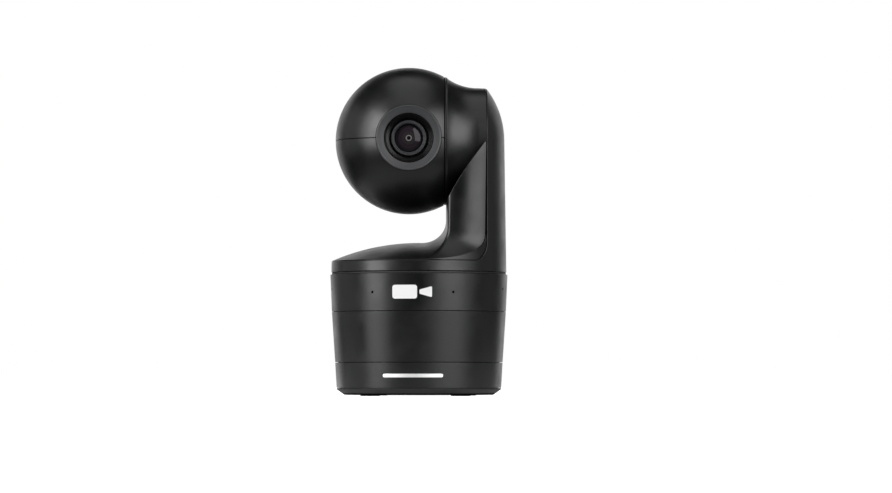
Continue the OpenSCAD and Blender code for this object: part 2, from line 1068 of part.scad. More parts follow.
cable_r = 2;
cable_bend = 8;
cable_z = 116;        // the level run, from the spindle to the arm
cable_x = driver_x - 2.5;

// A quarter turn from straight up to level, or the other way when flipped
module cable_quarter() {
  rotate([90, 0, 0])
    rotate_extrude(angle = 90)
      translate([cable_bend, 0])
        circle(r = cable_r);
}

module arm_cable() {
  z0 = deck_z;
  z1 = cable_z - cable_bend;
  z2 = cable_z + cable_bend;
  color(black)
    on_turntable() {
      translate([0, 0, z0])
        cylinder(r = cable_r, h = z1 - z0);
      translate([cable_bend, 0, z1])
        rotate([0, -90, 0])
          cable_quarter();
      translate([0, 0, cable_z])
        x_rod(cable_r, cable_bend, cable_x - 2 * cable_bend);
      translate([cable_x - cable_bend, 0, z2])
        rotate([0, 90, 0])
          cable_quarter();
      translate([cable_x, 0, z2])
        cylinder(r = cable_r, h = plug_z - gap - z2);
    }
}

// ---------------------------------------------------------------- head

flat_x = face_x - head_x;      // the ball's flat side, in the head's frame
shaft_hole_r = 14;
housing_half = 22;
housing_y0 = -37;
housing_y1 = 36;
housing_wall = 2;
bracket_x = housing_half + gap;
bracket_t = 2;
shaft_flange_x = bracket_x + bracket_t;

module ball_shell(z0, z1) {
  difference() {
    intersection() {
      sphere(r = head_r);
      block(-far / 2, flat_x, -far / 2, far / 2, z0, z1);
    }
    intersection() {
      sphere(r = head_r - wall);
      block(-far / 2, flat_x - wall, -far / 2, far / 2, -far / 2, far / 2);
    }
    front_rod(bezel_r + seam / 2, -far / 2, 0);
    x_rod(shaft_hole_r, 0, far);
  }
}

module head_upper_shell() {
  color(charcoal)
    in_head()
      ball_shell(seam / 2, far / 2);
}

module head_lower_shell() {
  color(charcoal)
    in_head()
      ball_shell(-far / 2, -seam / 2);
}

bezel_y = -sqrt(pow(head_r, 2) - pow(bezel_r, 2));
hood_r = 20;
hood_y = bezel_y + 1.4;
hood_back = -44;
step_r = 18.2;
throat_r = 16.3;
barrel_r = 14.3;
barrel_y = -50;

module lens_bezel() {
  color(charcoal)
    in_head()
      turned([
        [bezel_r, bezel_y + 5], [bezel_r, bezel_y - 0.2], [bezel_r - 0.7, bezel_y - 0.6],
        [bezel_r - 1.5, bezel_y - 0.1], [hood_r + gap, hood_y - 0.6], [hood_r + gap, bezel_y + 5]
      ]);
}

module lens_hood() {
  color(black)
    in_head()
      turned([
        [hood_r, hood_y - 0.2], [hood_r, hood_back], [throat_r - 1.6, hood_back],
        [throat_r - 1.6, hood_back - 1.4], [throat_r, hood_back - 1.4], [throat_r, hood_y + 2.4],
        [step_r, hood_y + 2.4], [step_r, hood_y + 0.6], [hood_r - 0.8, hood_y - 0.2]
      ]);
}

module lens_barrel() {
  bore_r = glass_r + gap;
  color(charcoal)
    in_head()
      turned([
        [barrel_r, barrel_y + 0.6], [barrel_r, housing_y0 + 1.9], [bore_r - 1.5, housing_y0 + 1.9],
        [bore_r - 1.5, barrel_y + 7], [bore_r, barrel_y + 7], [bore_r, barrel_y + 1.4],
        [bore_r + 1.2, barrel_y], [barrel_r - 0.5, barrel_y]
      ]);
}

glass_curve = 26;
glass_y = barrel_y + 1.5;

module front_glass() {
  color(glass)
    in_head()
      intersection() {
        translate([0, glass_y + glass_curve, 0])
          sphere(r = glass_curve);
        front_rod(glass_r, barrel_y, barrel_y + 7);
      }
}

module tilt_shaft() {
  color(steel)
    on_turntable()
      translate([0, 0, tilt_z])
        difference() {
          union() {
            x_rod(13, head_x + shaft_flange_x + gap, 1.9);
            x_rod(shaft_big_r, head_x + shaft_flange_x + 1, tilt_gear_x + tilt_gear_h
                  + 0.5 - head_x - shaft_flange_x - 1);
          }
          x_rod(5.5, 0, far);
        }
}

module tilt_gear() {
  color(white)
    on_turntable()
      translate([tilt_gear_x, 0, tilt_z])
        rotate([0, 90, 0])
          difference() {
            spur_gear(tilt_module, tilt_teeth, tilt_gear_h, 1);
            translate([0, 0, -1])
              cylinder(r = shaft_big_r, h = tilt_gear_h + 2);
          }
}

module head_bracket() {
  color(alloy)
    in_head()
      difference() {
        union() {
          block(bracket_x, bracket_x + bracket_t, -20, 20, -24, 20);
          block(-housing_half, bracket_x + bracket_t, -20, 20, -24, -housing_half - gap);
        }
        x_rod(5.5, 0, far);
        at_each(housing_screw_spots)
          cylinder(r = 1.6, h = 60, center = true);
      }
}

housing_screw_spots = [[-15, -14, 0], [15, -14, 0], [-15, 14, 0], [15, 14, 0]];

module camera_screws() {
  color(steel)
    in_head()
      at_each(housing_screw_spots)
        translate([0, 0, -24])
          mirror([0, 0, 1])
            screw(2.4, 1.5, 1.4, 3.5);
}

// ---------------------------------------------------------------- camera module

rod_r = 1.5;
rod_spots = [[-16, 0, 16], [16, 0, -16]];
inner_half = housing_half - housing_wall;
sensor_y = 32.1;      // front face of the sensor's board

module camera_housing() {
  color(black)
    in_head()
      difference() {
        block(-housing_half, housing_half, housing_y0, housing_y1, -housing_half, housing_half);
        block(-inner_half, inner_half, housing_y0 + 2, far, -inner_half, inner_half);
        front_rod(barrel_r + gap, -far, 0);
        at_each(housing_screw_spots)
          translate([0, 0, -housing_half - 1])
            cylinder(r = 1.5, h = 3.5);
      }
}

module guide_rods() {
  color(steel)
    in_head()
      at_each(rod_spots)
        front_rod(rod_r, housing_y0 + 2, sensor_y);
}

// Each carriage has a coil round a magnet bar; `corner` is the bar's corner of the housing
magnet = 15;
magnet_half = 2;
coil_half = 3.8;
iris_y = -3;
iris_t = 1.5;

module magnet_bar(corner, y0, y1) {
  block(corner * magnet - magnet_half, corner * magnet + magnet_half, y0, y1,
        corner * magnet - magnet_half, corner * magnet + magnet_half);
}

module lens_drive_magnets() {
  color(steel)
    in_head() {
      magnet_bar(1, housing_y0 + 2, iris_y);
      magnet_bar(-1, iris_y + iris_t, sensor_y);
    }
}

// A lens in a ring, with an arm out to each guide rod and one to the coil
module carriage(y, length, ring_r, lens_r, corner) {
  translate([0, y, 0]) {
    difference() {
      union() {
        front_rod(ring_r, 0, length);
        at_each(rod_spots)
          front_rod(3, 0, length);
        rotate([0, 45, 0])
          block(-22, 22, 1, length - 1, -2, 2);
        translate([corner * magnet, 0, corner * magnet])
          block(-coil_half, coil_half, 0.5, length - 0.5, -coil_half, coil_half);
        translate([corner * 9.5, 0, corner * 9.5])
          block(-3, 3, 1, length - 1, -3, 3);
      }
      front_rod(lens_r, -1, length + 1);
      at_each(rod_spots)
        front_rod(rod_r + running, -1, length + 1);
      translate([corner * magnet, 0, corner * magnet])
        block(-magnet_half - 0.5, magnet_half + 0.5, -1, length + 1,
              -magnet_half - 0.5, magnet_half + 0.5);
    }
    intersection() {
      front_rod(lens_r, 0.2, length - 0.2);
      translate([0, 1.6 * lens_r + 0.2, 0])
        sphere(r = 1.6 * lens_r);
    }
  }
}

module zoom_carriage() {
  color(black)
    in_head()
      carriage(-26, 7, 12.5, 9.5, 1);
}

module focus_carriage() {
  color(black)
    in_head()
      carriage(10, 6, 11, 8, -1);
}

module iris_plate() {
  color(steel)
    in_head()
      difference() {
        block(-inner_half, inner_half, iris_y, iris_y + iris_t, -inner_half, inner_half);
        front_rod(6, -10, 10);
        at_each(rod_spots)
          front_rod(rod_r, -10, 10);
      }
}

module sensor_board() {
  color(board_green)
    in_head()
      block(-inner_half, inner_half, sensor_y, sensor_y + board_t, -inner_half, inner_half);
  color(glass)
    in_head()
      block(-5, 5, sensor_y - 2, sensor_y, -4, 4);
}

// ---------------------------------------------------------------- nodes

bottom_plate();
rubber_feet();
tripod_insert();
base_screws();
lower_ring();
light_bar();
light_bar_board();
barrel();
port_panel();
ethernet_jack();
usb_jack();
hdmi_jack();
power_jack();
audio_jacks();
main_board();
heatsink();
board_standoffs();
deck_pillars();
base_deck();
microphone_ring();
microphone_capsules();
front_badge();
top_cover_ring();
pan_bearing_outer_race();
pan_bearing_balls();
pan_bearing_inner_race();
pan_motor();
pan_pinion();
pan_gear();
pan_stop_pin();
pan_spindle();
spindle_nut();
turntable();
turntable_screws();
arm_outer_cover();
arm_front_cover();
arm_frame();
tilt_bearing_block();
tilt_bushes();
tilt_motor();
tilt_pinion();
driver_board();
arm_cable();
tilt_shaft();
tilt_gear();
head_bracket();
head_upper_shell();
head_lower_shell();
lens_bezel();
lens_hood();
lens_barrel();
front_glass();
camera_housing();
guide_rods();
lens_drive_magnets();
zoom_carriage();
iris_plate();
focus_carriage();
sensor_board();
camera_screws();
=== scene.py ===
"""Looks for the pan-tilt-zoom camera: fine meshes for what shows, finishes, and a studio."""

import json
import math

import bmesh
import bpy
import numpy as np
from mathutils import Matrix, Vector
from mathutils.geometry import delaunay_2d_cdt
from mathutils.kdtree import KDTree


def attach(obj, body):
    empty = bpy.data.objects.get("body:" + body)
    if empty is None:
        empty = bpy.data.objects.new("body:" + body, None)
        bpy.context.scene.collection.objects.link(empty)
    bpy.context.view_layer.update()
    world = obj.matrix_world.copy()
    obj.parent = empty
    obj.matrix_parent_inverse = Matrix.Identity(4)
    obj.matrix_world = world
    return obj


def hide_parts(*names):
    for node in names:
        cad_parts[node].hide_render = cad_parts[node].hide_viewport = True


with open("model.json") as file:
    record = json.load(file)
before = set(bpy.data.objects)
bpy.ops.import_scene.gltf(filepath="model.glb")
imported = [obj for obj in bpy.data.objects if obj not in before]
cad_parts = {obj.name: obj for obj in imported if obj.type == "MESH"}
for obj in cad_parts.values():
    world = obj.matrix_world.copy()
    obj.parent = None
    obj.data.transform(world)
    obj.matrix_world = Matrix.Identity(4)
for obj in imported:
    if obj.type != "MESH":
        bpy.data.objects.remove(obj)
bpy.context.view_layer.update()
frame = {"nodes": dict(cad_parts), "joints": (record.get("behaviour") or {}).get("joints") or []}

# Sizes in millimetres, as in part.scad. The base faces -Y and the origin is under the pan axis.
MM = 0.001
WALL = 2.4
SEAM = 0.4
FOOT_Z, SKIRT_Z, WAIST_Z, RING_Z = 6.3, 27.3, 68.7, 98.9
FOOT_R, SKIRT_R, WAIST_R, RING_R = 67.3, 68.5, 71.2, 72.5
SOLE_Z, SOLE_R, FLOOR_Z = 0.8, 61.0, 3.6
PAD_R, PAD_TOP, PAD_AT = 8.0, 1.6, 52.0
SCREW_HOLE_R, SCREW_HOLE_TOP, SCREW_AT = 3.2, 2.9, 55.5
INSERT_R, INSERT_TOP = 6.0, 11.0
BAR_Z, BAR_HALF, BAR_H = 16.6, 20.0, 3.0
BADGE_Z, BADGE_W, BADGE_H = 83.9, 32.0, 11.0
PORT_W, PORT_Z0, PORT_Z1 = 38.0, 34.0, 62.0
RIM_Z, RIM_TOP, RIM_R = 100.9, 109.4, 71.6
ARM_R, SPLIT_X, INNER_X = 70.0, 55.2, 22.2
ARM_FRONT_R, ARM_CREST_X, ARM_CORNER_R, ARM_BULGE = 42.0, 32.0, 3.0, 0.8
DOME_TOP, DOME_EDGE, FILLET_R = 125.0, 110.0, 20.0
CORNER_X, CORNER_Z = 10.4, 15.8
TILT_Z, HEAD_R, HEAD_X, FACE_X = 208.5, 60.0, -8.2, 20.4
HUB_X, HUB_BEND_X = FACE_X + 0.8, 48.0
BEZEL_R, HOOD_R, THROAT_R, BARREL_R, GLASS_R = 26.5, 20.0, 16.3, 14.3, 11.4
BARREL_TOP = 50.0       # front end of the lens barrel, from the ball's middle
MIC_R = 1.0

# The turntable's angle at rest is the tilt axis's angle from +X.
tilt_joint = next(j for j in frame["joints"] if j["name"] == "tilt")
PAN = math.atan2(tilt_joint["axis"][1], tilt_joint["axis"][0])
TURN = Matrix.Rotation(PAN, 4, "Z")
HEAD = TURN @ Matrix.Translation((HEAD_X * MM, 0, TILT_Z * MM))

DOME_RISE = DOME_TOP - DOME_EDGE
DOME_R = (RIM_R**2 + DOME_RISE**2) / (2 * DOME_RISE)


def radius_at(z):
    """Radius of the base's outside at a height."""
    return np.interp(z, [FOOT_Z, SKIRT_Z, WAIST_Z, RING_Z], [FOOT_R, SKIRT_R, WAIST_R, RING_R])


def arm_radius(z):
    """Radius of the turntable and arm about the pan axis, up to the tilt axis."""
    return RIM_R + (ARM_R - RIM_R) * (z - RIM_Z) / (TILT_Z - RIM_Z)


# ---------- skins


def xyz(*coordinates):
    """Coordinates side by side: two for a plane, three for space."""
    return np.stack(coordinates, -1)


def unit(v):
    return v / np.maximum(np.linalg.norm(v, axis=-1, keepdims=True), 1e-12)


class Skin:
    """Points and outward normals in millimetres, and faces, anticlockwise from outside."""

    def __init__(self, points, normals, faces):
        self.p = np.asarray(points, float)
        self.n = unit(np.asarray(normals, float))
        self.f = [tuple(int(i) for i in f) for f in faces]

    def faced(self):
        """Turns over the faces that look inwards."""
        out = []
        for f in self.f:
            corners = self.p[list(f)]
            if len(f) == 4:
                side = np.cross(corners[2] - corners[0], corners[3] - corners[1])
            else:
                side = np.cross(corners[1] - corners[0], corners[2] - corners[0])
            out.append(f if side @ self.n[list(f)].sum(0) >= 0 else f[::-1])
        self.f = out
        return self

    def welded(self, grain=1e-4):
        """Joins points that are in one place."""
        keys, first, index = {}, [], np.empty(len(self.p), int)
        for i, q in enumerate(np.round(self.p / grain).astype(np.int64)):
            key = tuple(q)
            if key not in keys:
                keys[key] = len(first)
                first.append(i)
            index[i] = keys[key]
        faces = []
        for f in self.f:
            g = [index[i] for i in f]
            g = [a for k, a in enumerate(g) if a != g[k - 1]]
            if len(set(g)) == len(g) >= 3:
                faces.append(tuple(g))
        return Skin(self.p[first], self.n[first], faces)

    def joined(self, *others):
        skins, faces, at = (self, *others), [], 0
        for skin in skins:
            faces += [tuple(i + at for i in face) for face in skin.f]
            at += len(skin.p)
        return Skin(np.vstack([s.p for s in skins]), np.vstack([s.n for s in skins]), faces)

    def loops(self):
        """The open edges, as closed rings of points that keep the skin on their left."""
        used = {(f[k], f[(k + 1) % len(f)]) for f in self.f for k in range(len(f))}
        follow = {}
        for a, b in used:
            if (b, a) not in used:
                follow.setdefault(a, []).append(b)
        rings = []
        while follow:
            start = next(iter(follow))
            ring, at = [], start
            while at in follow:
                ring.append(at)
                nxt = follow[at].pop()
                if not follow[at]:
                    del follow[at]
                at = nxt
            if len(ring) > 2:
                rings.append(ring)
        return rings


def grid(surface, us, vs, wrap=False):
    """A skin over a grid; surface(u, v) gives points and normals."""
    us, vs = np.asarray(us, float), np.asarray(vs, float)
    u, v = np.meshgrid(us, vs, indexing="ij")
    p, n = surface(u.ravel(), v.ravel())
    rows, cols = len(us), len(vs)
    faces = []
    for i in range(rows if wrap else rows - 1):
        j = (i + 1) % rows
        for k in range(cols - 1):
            faces.append((i * cols + k, j * cols + k, j * cols + k + 1, i * cols + k + 1))
    return Skin(p, n, faces).faced()


def inside(points, loop):
    """Which points are inside a closed loop in the plane."""
    x, y = points[:, 0], points[:, 1]
    hit = np.zeros(len(points), bool)
    for (x0, y0), (x1, y1) in zip(loop, np.roll(loop, -1, axis=0)):
        if y0 != y1:
            cross = (y0 > y) != (y1 > y)
            hit ^= cross & (x < (x1 - x0) * (y - y0) / (y1 - y0) + x0)
    return hit


def sheet(loops, spacing, surface):
    """Triangles inside the first loop of a plane and outside the rest, laid on a surface."""
    outer = loops[0]
    lo, hi = outer.min(0), outer.max(0)
    row = spacing * 0.866       # height of an even triangle
    spots = [
        (x + (k % 2) * spacing / 2, y)
        for k, y in enumerate(np.arange(lo[1] + row / 2, hi[1], row))
        for x in np.arange(lo[0] + spacing / 4, hi[0], spacing)
    ]
    spots = np.array(spots)
    keep = inside(spots, outer)
    for hole in loops[1:]:
        keep &= ~inside(spots, hole)
    spots = spots[keep]
    for loop in loops:
        ends = np.roll(loop, -1, axis=0)
        for a, b in zip(loop, ends):
            d = b - a
            size = max(d @ d, 1e-12)
            near = np.hypot(*(spots - (a + b) / 2).T) < spacing + math.sqrt(size)
            if near.any():
                t = np.clip((spots[near] - a) @ d / size, 0, 1)
                away = np.hypot(*(spots[near] - a - t[:, None] * d).T)
                room = 0.55 * min(spacing, max(math.sqrt(size), 0.3))
                spots = np.delete(spots, np.flatnonzero(near)[away < room], axis=0)
    coords, edges = [], []
    for loop in loops:
        at = len(coords)
        coords += [Vector(q) for q in loop]
        edges += [(at + i, at + (i + 1) % len(loop)) for i in range(len(loop))]
    coords += [Vector(q) for q in spots]
    verts, _, tris, *_ = delaunay_2d_cdt(coords, edges, [], 0, 1e-6)
    verts = np.array([tuple(v) for v in verts])
    tris = np.array([tuple(t) for t in tris if len(t) == 3])
    middle = verts[tris].mean(1)
    keep = inside(middle, outer)
    for hole in loops[1:]:
        keep &= ~inside(middle, hole)
    used, faces = renumbered(tris[keep], len(verts))
    return Skin(*surface(verts[used, 0], verts[used, 1]), faces).faced()


def renumbered(faces, count):
    """The points that faces use, out of a count, and the faces numbered by them."""
    used = np.unique([i for f in faces for i in f])
    index = np.full(count, -1)
    index[used] = np.arange(len(used))
    return used, [tuple(index[i] for i in f) for f in faces]


def clip(skin, measure, settle):
    """Keeps a skin where measure is positive.

    settle puts points back on the surface and gives their normals.
    """
    tris = []
    for f in skin.f:
        tris.append(f[:3])
        if len(f) == 4:
            tris.append((f[0], f[2], f[3]))
    p = skin.p.copy()
    value = measure(p)
    if (value > 0).all():
        return skin
    pairs = {tuple(sorted((t[k], t[(k + 1) % 3]))) for t in tris for k in range(3)}

    def cut():
        return np.array([q for q in pairs if value[q[0]] * value[q[1]] < 0])

    def crossing(a, b):
        lo, hi = p[a].copy(), p[b].copy()
        low = value[a]
        for _ in range(14):
            mid = settle((lo + hi) / 2)[0]
            same = (measure(mid) * low > 0)[:, None]
            lo, hi = np.where(same, mid, lo), np.where(same, hi, mid)
        return (lo + hi) / 2

    pairs = cut()
    if len(pairs):
        at = crossing(pairs[:, 0], pairs[:, 1])
        length = np.linalg.norm(p[pairs[:, 0]] - p[pairs[:, 1]], axis=1)
        best = {}
        for (a, b), q, size in zip(pairs, at, length):
            for i in (a, b):
                share = np.linalg.norm(q - skin.p[i]) / size
                if share < 0.3 and share < best.get(i, (1,))[0]:
                    best[i] = (share, q)
        for i, (_, q) in best.items():
            p[i] = q
            value[i] = 0
    pairs = cut()
    added = {}
    if len(pairs):
        at = crossing(pairs[:, 0], pairs[:, 1])
        for k, (a, b) in enumerate(pairs):
            added[(a, b)] = len(p) + k
        p = np.vstack([p, at])
        value = np.concatenate([value, np.zeros(len(at))])
    faces = []
    for t in tris:
        v = value[list(t)]
        if v.max() <= 0:
            continue
        if v.min() >= 0:
            faces.append(t)
            continue
        ring = []
        for k in range(3):
            a, b = t[k], t[(k + 1) % 3]
            if value[a] >= 0:
                ring.append(a)
            if value[a] * value[b] < 0:
                ring.append(added[tuple(sorted((a, b)))])
        if len(ring) >= 3:
            faces.append(tuple(ring))
    used, faces = renumbered(faces, len(p))
    return Skin(*settle(p[used]), faces)


def rolled(skin, r, wall, steps=3):
    """A closed shell from a skin: its open edges turn over and run down to an inner skin.

    r is the radius of the edge: a number, or a function of an edge ring's middle.
    """
    inner = len(skin.p)
    p, n = [skin.p, skin.p - wall * skin.n], [skin.n, -skin.n]
    faces = skin.f + [tuple(i + inner for i in f[::-1]) for f in skin.f]
    at = 2 * inner
    for ring in skin.loops():
        q, m = skin.p[ring], skin.n[ring]
        along = unit(np.roll(q, -1, axis=0) - q)
        side = unit(np.cross(along, m))
        before = np.roll(side, 1, axis=0)
        out = unit(side + before)
        out = unit(out - m * (out * m).sum(1, keepdims=True))
        mitre = 1 / np.maximum((out * side).sum(1, keepdims=True), 0.5)
        radius = r(q.mean(0)) if callable(r) else r
        for k in range(1, steps + 1):
            a = math.pi / 2 * k / steps
            up, over = math.cos(a), math.sin(a)
            p.append(q - radius * m * (1 - up) + radius * over * out * mitre)
            n.append(m * up + out * over)
        p.append(q + radius * out * mitre - wall * m)
        n.append(out)
        last = ring
        for k in range(steps + 1):
            now = range(at, at + len(ring))
            faces += bridged(last, now)
            at, last = at + len(ring), now
        faces += bridged(last, [i + inner for i in ring])
    return Skin(np.vstack(p), np.vstack(n), faces)


def bridged(a, b):
    """Faces between two rings with the same number of points."""
    size = len(a)
    return [(a[(k + 1) % size], a[k], b[k], b[(k + 1) % size]) for k in range(size)]


def rounded(profile, radii, closed=True, steps=4):
    """A plane outline with its corners rounded."""
    profile = [np.array(q, float) for q in profile]
    size = len(profile)
    radii = radii if isinstance(radii, (list, tuple)) else [radii] * size
    out = []
    for k, q in enumerate(profile):
        r = radii[k]
        if r <= 0 or (not closed and k in (0, size - 1)):
            out.append(q)
            continue
        a, b = profile[k - 1] - q, profile[(k + 1) % size] - q
        la, lb = np.linalg.norm(a), np.linalg.norm(b)
        a, b = a / la, b / lb
        half = math.acos(max(-1, min(1, a @ b))) / 2
        if half > math.pi / 2 - 0.02:
            out.append(q)
            continue
        reach = min(r / math.tan(half), 0.45 * la, 0.45 * lb)
        r = reach * math.tan(half)
        centre = q + (a + b) / np.linalg.norm(a + b) * r / math.sin(half)
        start, end = q + a * reach - centre, q + b * reach - centre
        turn = math.atan2(start[0] * end[1] - start[1] * end[0], start @ end)
        for i in range(steps + 1):
            c, s = math.cos(turn * i / steps), math.sin(turn * i / steps)
            spoke = [c * start[0] - s * start[1], s * start[0] + c * start[1]]
            out.append(centre + np.array(spoke))
    return np.array(out)


def lathe(profile, around, closed=True):
    """Turns a [radius, height] outline about the local Z axis; the outline runs anticlockwise."""
    size = len(profile)
    p, faces = [], []
    for i in range(around):
        a, j = 2 * math.pi * i / around, (i + 1) % around
        p += [(r * math.cos(a), r * math.sin(a), z) for r, z in profile]
        for k in range(size if closed else size - 1):
            m = (k + 1) % size
            faces.append((i * size + k, j * size + k, j * size + m, i * size + m))
    return p, faces


# ---------- objects


def placed(obj, body, nodes, material, move=None):
    """Puts a piece in the scene, on its body, in place of its CAD nodes."""
    bpy.context.scene.collection.objects.link(obj)
    if move is not None:
        obj.data.transform(move)
    obj.data.materials.append(material)
    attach(obj, body)
    if nodes:
        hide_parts(*nodes)


def mesh_object(name, points, faces, normals=None, sharp=40):
    """A mesh from points in millimetres, shaded with its own normals or split at sharp angles."""
    mesh = bpy.data.meshes.new(name)
    corners = [tuple(q) for q in np.asarray(points) * MM]
    mesh.from_pydata(corners, [], [tuple(map(int, f)) for f in faces])
    mesh.validate(clean_customdata=False)
    if normals is None:
        work = bmesh.new()
        work.from_mesh(mesh)
        bmesh.ops.remove_doubles(work, verts=work.verts, dist=1e-7)
        bmesh.ops.recalc_face_normals(work, faces=work.faces)
        for edge in work.edges:
            if len(edge.link_faces) == 2 and edge.calc_face_angle(0) > math.radians(sharp):
                edge.smooth = False
        work.to_mesh(mesh)
        work.free()
    mesh.polygons.foreach_set("use_smooth", [True] * len(mesh.polygons))
    if normals is not None:
        mesh.normals_split_custom_set_from_vertices([tuple(q) for q in normals])
    mesh.update()
    return bpy.data.objects.new(name, mesh)


def skin_object(name, skin):
    return mesh_object(name, skin.p, skin.f, skin.n)


def lathe_object(name, profile, radii, around):
    points, faces = lathe(rounded(profile, radii), around)
    return mesh_object(name, points, faces, None, 50)


# ---------- finishes


class Finish:
    """A material being wired up."""

    def __init__(self, name):
        self.material = bpy.data.materials.new(name)
        self.material.use_nodes = True
        self.nodes = self.material.node_tree.nodes
        self.links = self.material.node_tree.links
        self.shader = self.nodes["Principled BSDF"]

    def add(self, kind, **values):
        node = self.nodes.new(kind)
        for key, value in values.items():
            if key in node.inputs:
                node.inputs[key].default_value = value
            else:
                setattr(node, key, value)
        return node

    def join(self, a, out, b, into):
        self.links.new(a.outputs[out], b.inputs[into])

    def noise(self, size_mm, detail):
        """Noise with grains of about that size, in the object's own coordinates."""
        place = self.add("ShaderNodeTexCoord")
        noise = self.add("ShaderNodeTexNoise", Detail=detail, Scale=1 / (size_mm * MM))
        self.join(place, "Object", noise, "Vector")
        return noise

    def ramp(self, source, stops, out="Fac"):
        """Maps a value through colour stops [(place, colour or grey)]."""
        ramp = self.add("ShaderNodeValToRGB")
        bar = ramp.color_ramp
        while len(bar.elements) < len(stops):
            bar.elements.new(0.5)
        for element, (place, colour) in zip(bar.elements, stops):
            element.position = place
            grey = isinstance(colour, (int, float))
            element.color = (colour, colour, colour, 1) if grey else (*colour, 1)
        self.join(source, out, ramp, "Fac")
        return ramp

    def bump(self, source, depth_mm, strength=1.0, out="Fac"):
        node = self.add("ShaderNodeBump", Strength=strength, Distance=depth_mm * MM)
        self.join(source, out, node, "Height")
        self.join(node, "Normal", self.shader, "Normal")

    def set(self, **values):
        for key, value in values.items():
            self.shader.inputs[key.replace("_", " ")].default_value = value


def moulded(
    name, colour, rough, grain_mm=0.35, grain_depth=0.012, spread=0.07, tint=0.12, shine=0.5,
):
    """Moulded plastic with a spark-eroded grain."""
    f = Finish(name)
    fine = f.noise(grain_mm, 2.0)
    wide = f.noise(22, 4.0)
    f.bump(fine, grain_depth, 0.9)
    rough_ramp = f.ramp(wide, [(0.3, rough - spread), (0.7, rough + spread)])
    f.join(rough_ramp, "Color", f.shader, "Roughness")
    dark = tuple(c * (1 - tint) for c in colour)
    light = tuple(c * (1 + tint) for c in colour)
    tone = f.ramp(fine, [(0.3, dark), (0.7, light)])
    f.join(tone, "Color", f.shader, "Base Color")
    f.set(Specular_IOR_Level=shine)
    return f.material


def metal(name, colour, rough, grain_mm=1.5, depth=0.004):
    f = Finish(name)
    f.set(Metallic=1.0)
    fine = f.noise(grain_mm, 4.0)
    f.bump(fine, depth, 0.6)
    spread = f.ramp(fine, [(0.3, rough * 0.75), (0.7, rough * 1.3)])
    f.join(spread, "Color", f.shader, "Roughness")
    tone = f.ramp(f.noise(9, 3.0), [(0.3, tuple(c * 0.9 for c in colour)), (0.7, colour)])
    f.join(tone, "Color", f.shader, "Base Color")
    return f.material


def circuit_board(name):
    f = Finish(name)
    tracks = f.noise(2.2, 1.0)
    tone = f.ramp(tracks, [(0.47, (0.008, 0.060, 0.026)), (0.5, (0.014, 0.105, 0.045))])
    f.join(tone, "Color", f.shader, "Base Color")
    f.bump(tracks, 0.03, 0.5)
    gloss = f.ramp(f.noise(14, 2.0), [(0.3, 0.28), (0.7, 0.42)])
    f.join(gloss, "Color", f.shader, "Roughness")
    return f.material


def coated_glass(name):
    """A dark lens with painted reflections: rings round the axis, bright near the middle and faint
    further out, where the lens groups behind it catch light; under a violet coating.
    """
    f = Finish(name)
    place = f.add("ShaderNodeTexCoord")
    middle = f.add("ShaderNodeVectorMath", operation="SUBTRACT")
    middle.inputs[1].default_value = HEAD.translation
    across = f.add("ShaderNodeVectorMath", operation="CROSS_PRODUCT")
    across.inputs[1].default_value = HEAD.to_3x3() @ Vector((0, 1, 0))
    length = f.add("ShaderNodeVectorMath", operation="LENGTH")
    f.join(place, "Object", middle, 0)
    f.join(middle, "Vector", across, 0)
    f.join(across, "Vector", length, 0)
    radius = f.add("ShaderNodeMath", operation="MULTIPLY")
    radius.inputs[1].default_value = 1 / (GLASS_R * MM)
    f.join(length, "Value", radius, 0)
    dark, brown = (0.004, 0.004, 0.004), (0.018, 0.014, 0.015)
    # Painted reflections: lighter rings in the base colour, brightest near the middle, stand for
    # light caught by the lens groups behind the glass.
    rings = f.ramp(radius, [
        (0.0, dark), (0.13, dark), (0.16, (0.17, 0.155, 0.15)), (0.21, (0.13, 0.12, 0.12)),
        (0.25, dark), (0.30, dark), (0.33, (0.05, 0.045, 0.045)), (0.36, dark),
        (0.42, (0.03, 0.026, 0.024)), (0.45, brown), (0.62, (0.016, 0.012, 0.017)),
        (0.66, (0.024, 0.017, 0.024)), (0.70, brown), (0.90, (0.012, 0.011, 0.013)), (0.95, dark),
    ], out="Value")
    f.join(rings, "Color", f.shader, "Base Color")
    smear = f.ramp(f.noise(6, 3.0), [(0.35, 0.05), (0.75, 0.10)])
    f.join(smear, "Color", f.shader, "Roughness")
    f.set(IOR=1.22, Coat_Weight=0.15, Coat_Roughness=0.05, Coat_Tint=(0.75, 0.6, 1.0, 1))
    return f.material


def light_guide(name):
    """The light bar: milky, brighter at its ends than in the middle."""
    f = Finish(name)
    place = f.add("ShaderNodeTexCoord")
    apart = f.add("ShaderNodeSeparateXYZ")
    f.join(place, "Object", apart, "Vector")
    away = f.add("ShaderNodeMath", operation="ABSOLUTE")
    f.join(apart, "X", away, 0)
    reach = f.add("ShaderNodeMapRange")
    reach.inputs["From Min"].default_value = 0.004
    reach.inputs["From Max"].default_value = 0.022
    f.join(away, "Value", reach, "Value")
    glow = f.ramp(reach, [(0.0, 0.52), (1.0, 0.95)], out="Result")
    grain = f.noise(1.2, 2.0)
    mix = f.add("ShaderNodeMix", data_type="RGBA", blend_type="MULTIPLY")
    mix.inputs["Factor"].default_value = 0.25
    f.join(glow, "Color", mix, "A")
    f.join(grain, "Color", mix, "B")
    f.join(mix, "Result", f.shader, "Base Color")
    f.join(glow, "Color", f.shader, "Emission Color")
    f.set(Emission_Strength=0.35)
    f.bump(grain, 0.01, 0.3)
    soft = f.ramp(f.noise(5, 2.0), [(0.3, 0.3), (0.7, 0.42)])
    f.join(soft, "Color", f.shader, "Roughness")
    return f.material


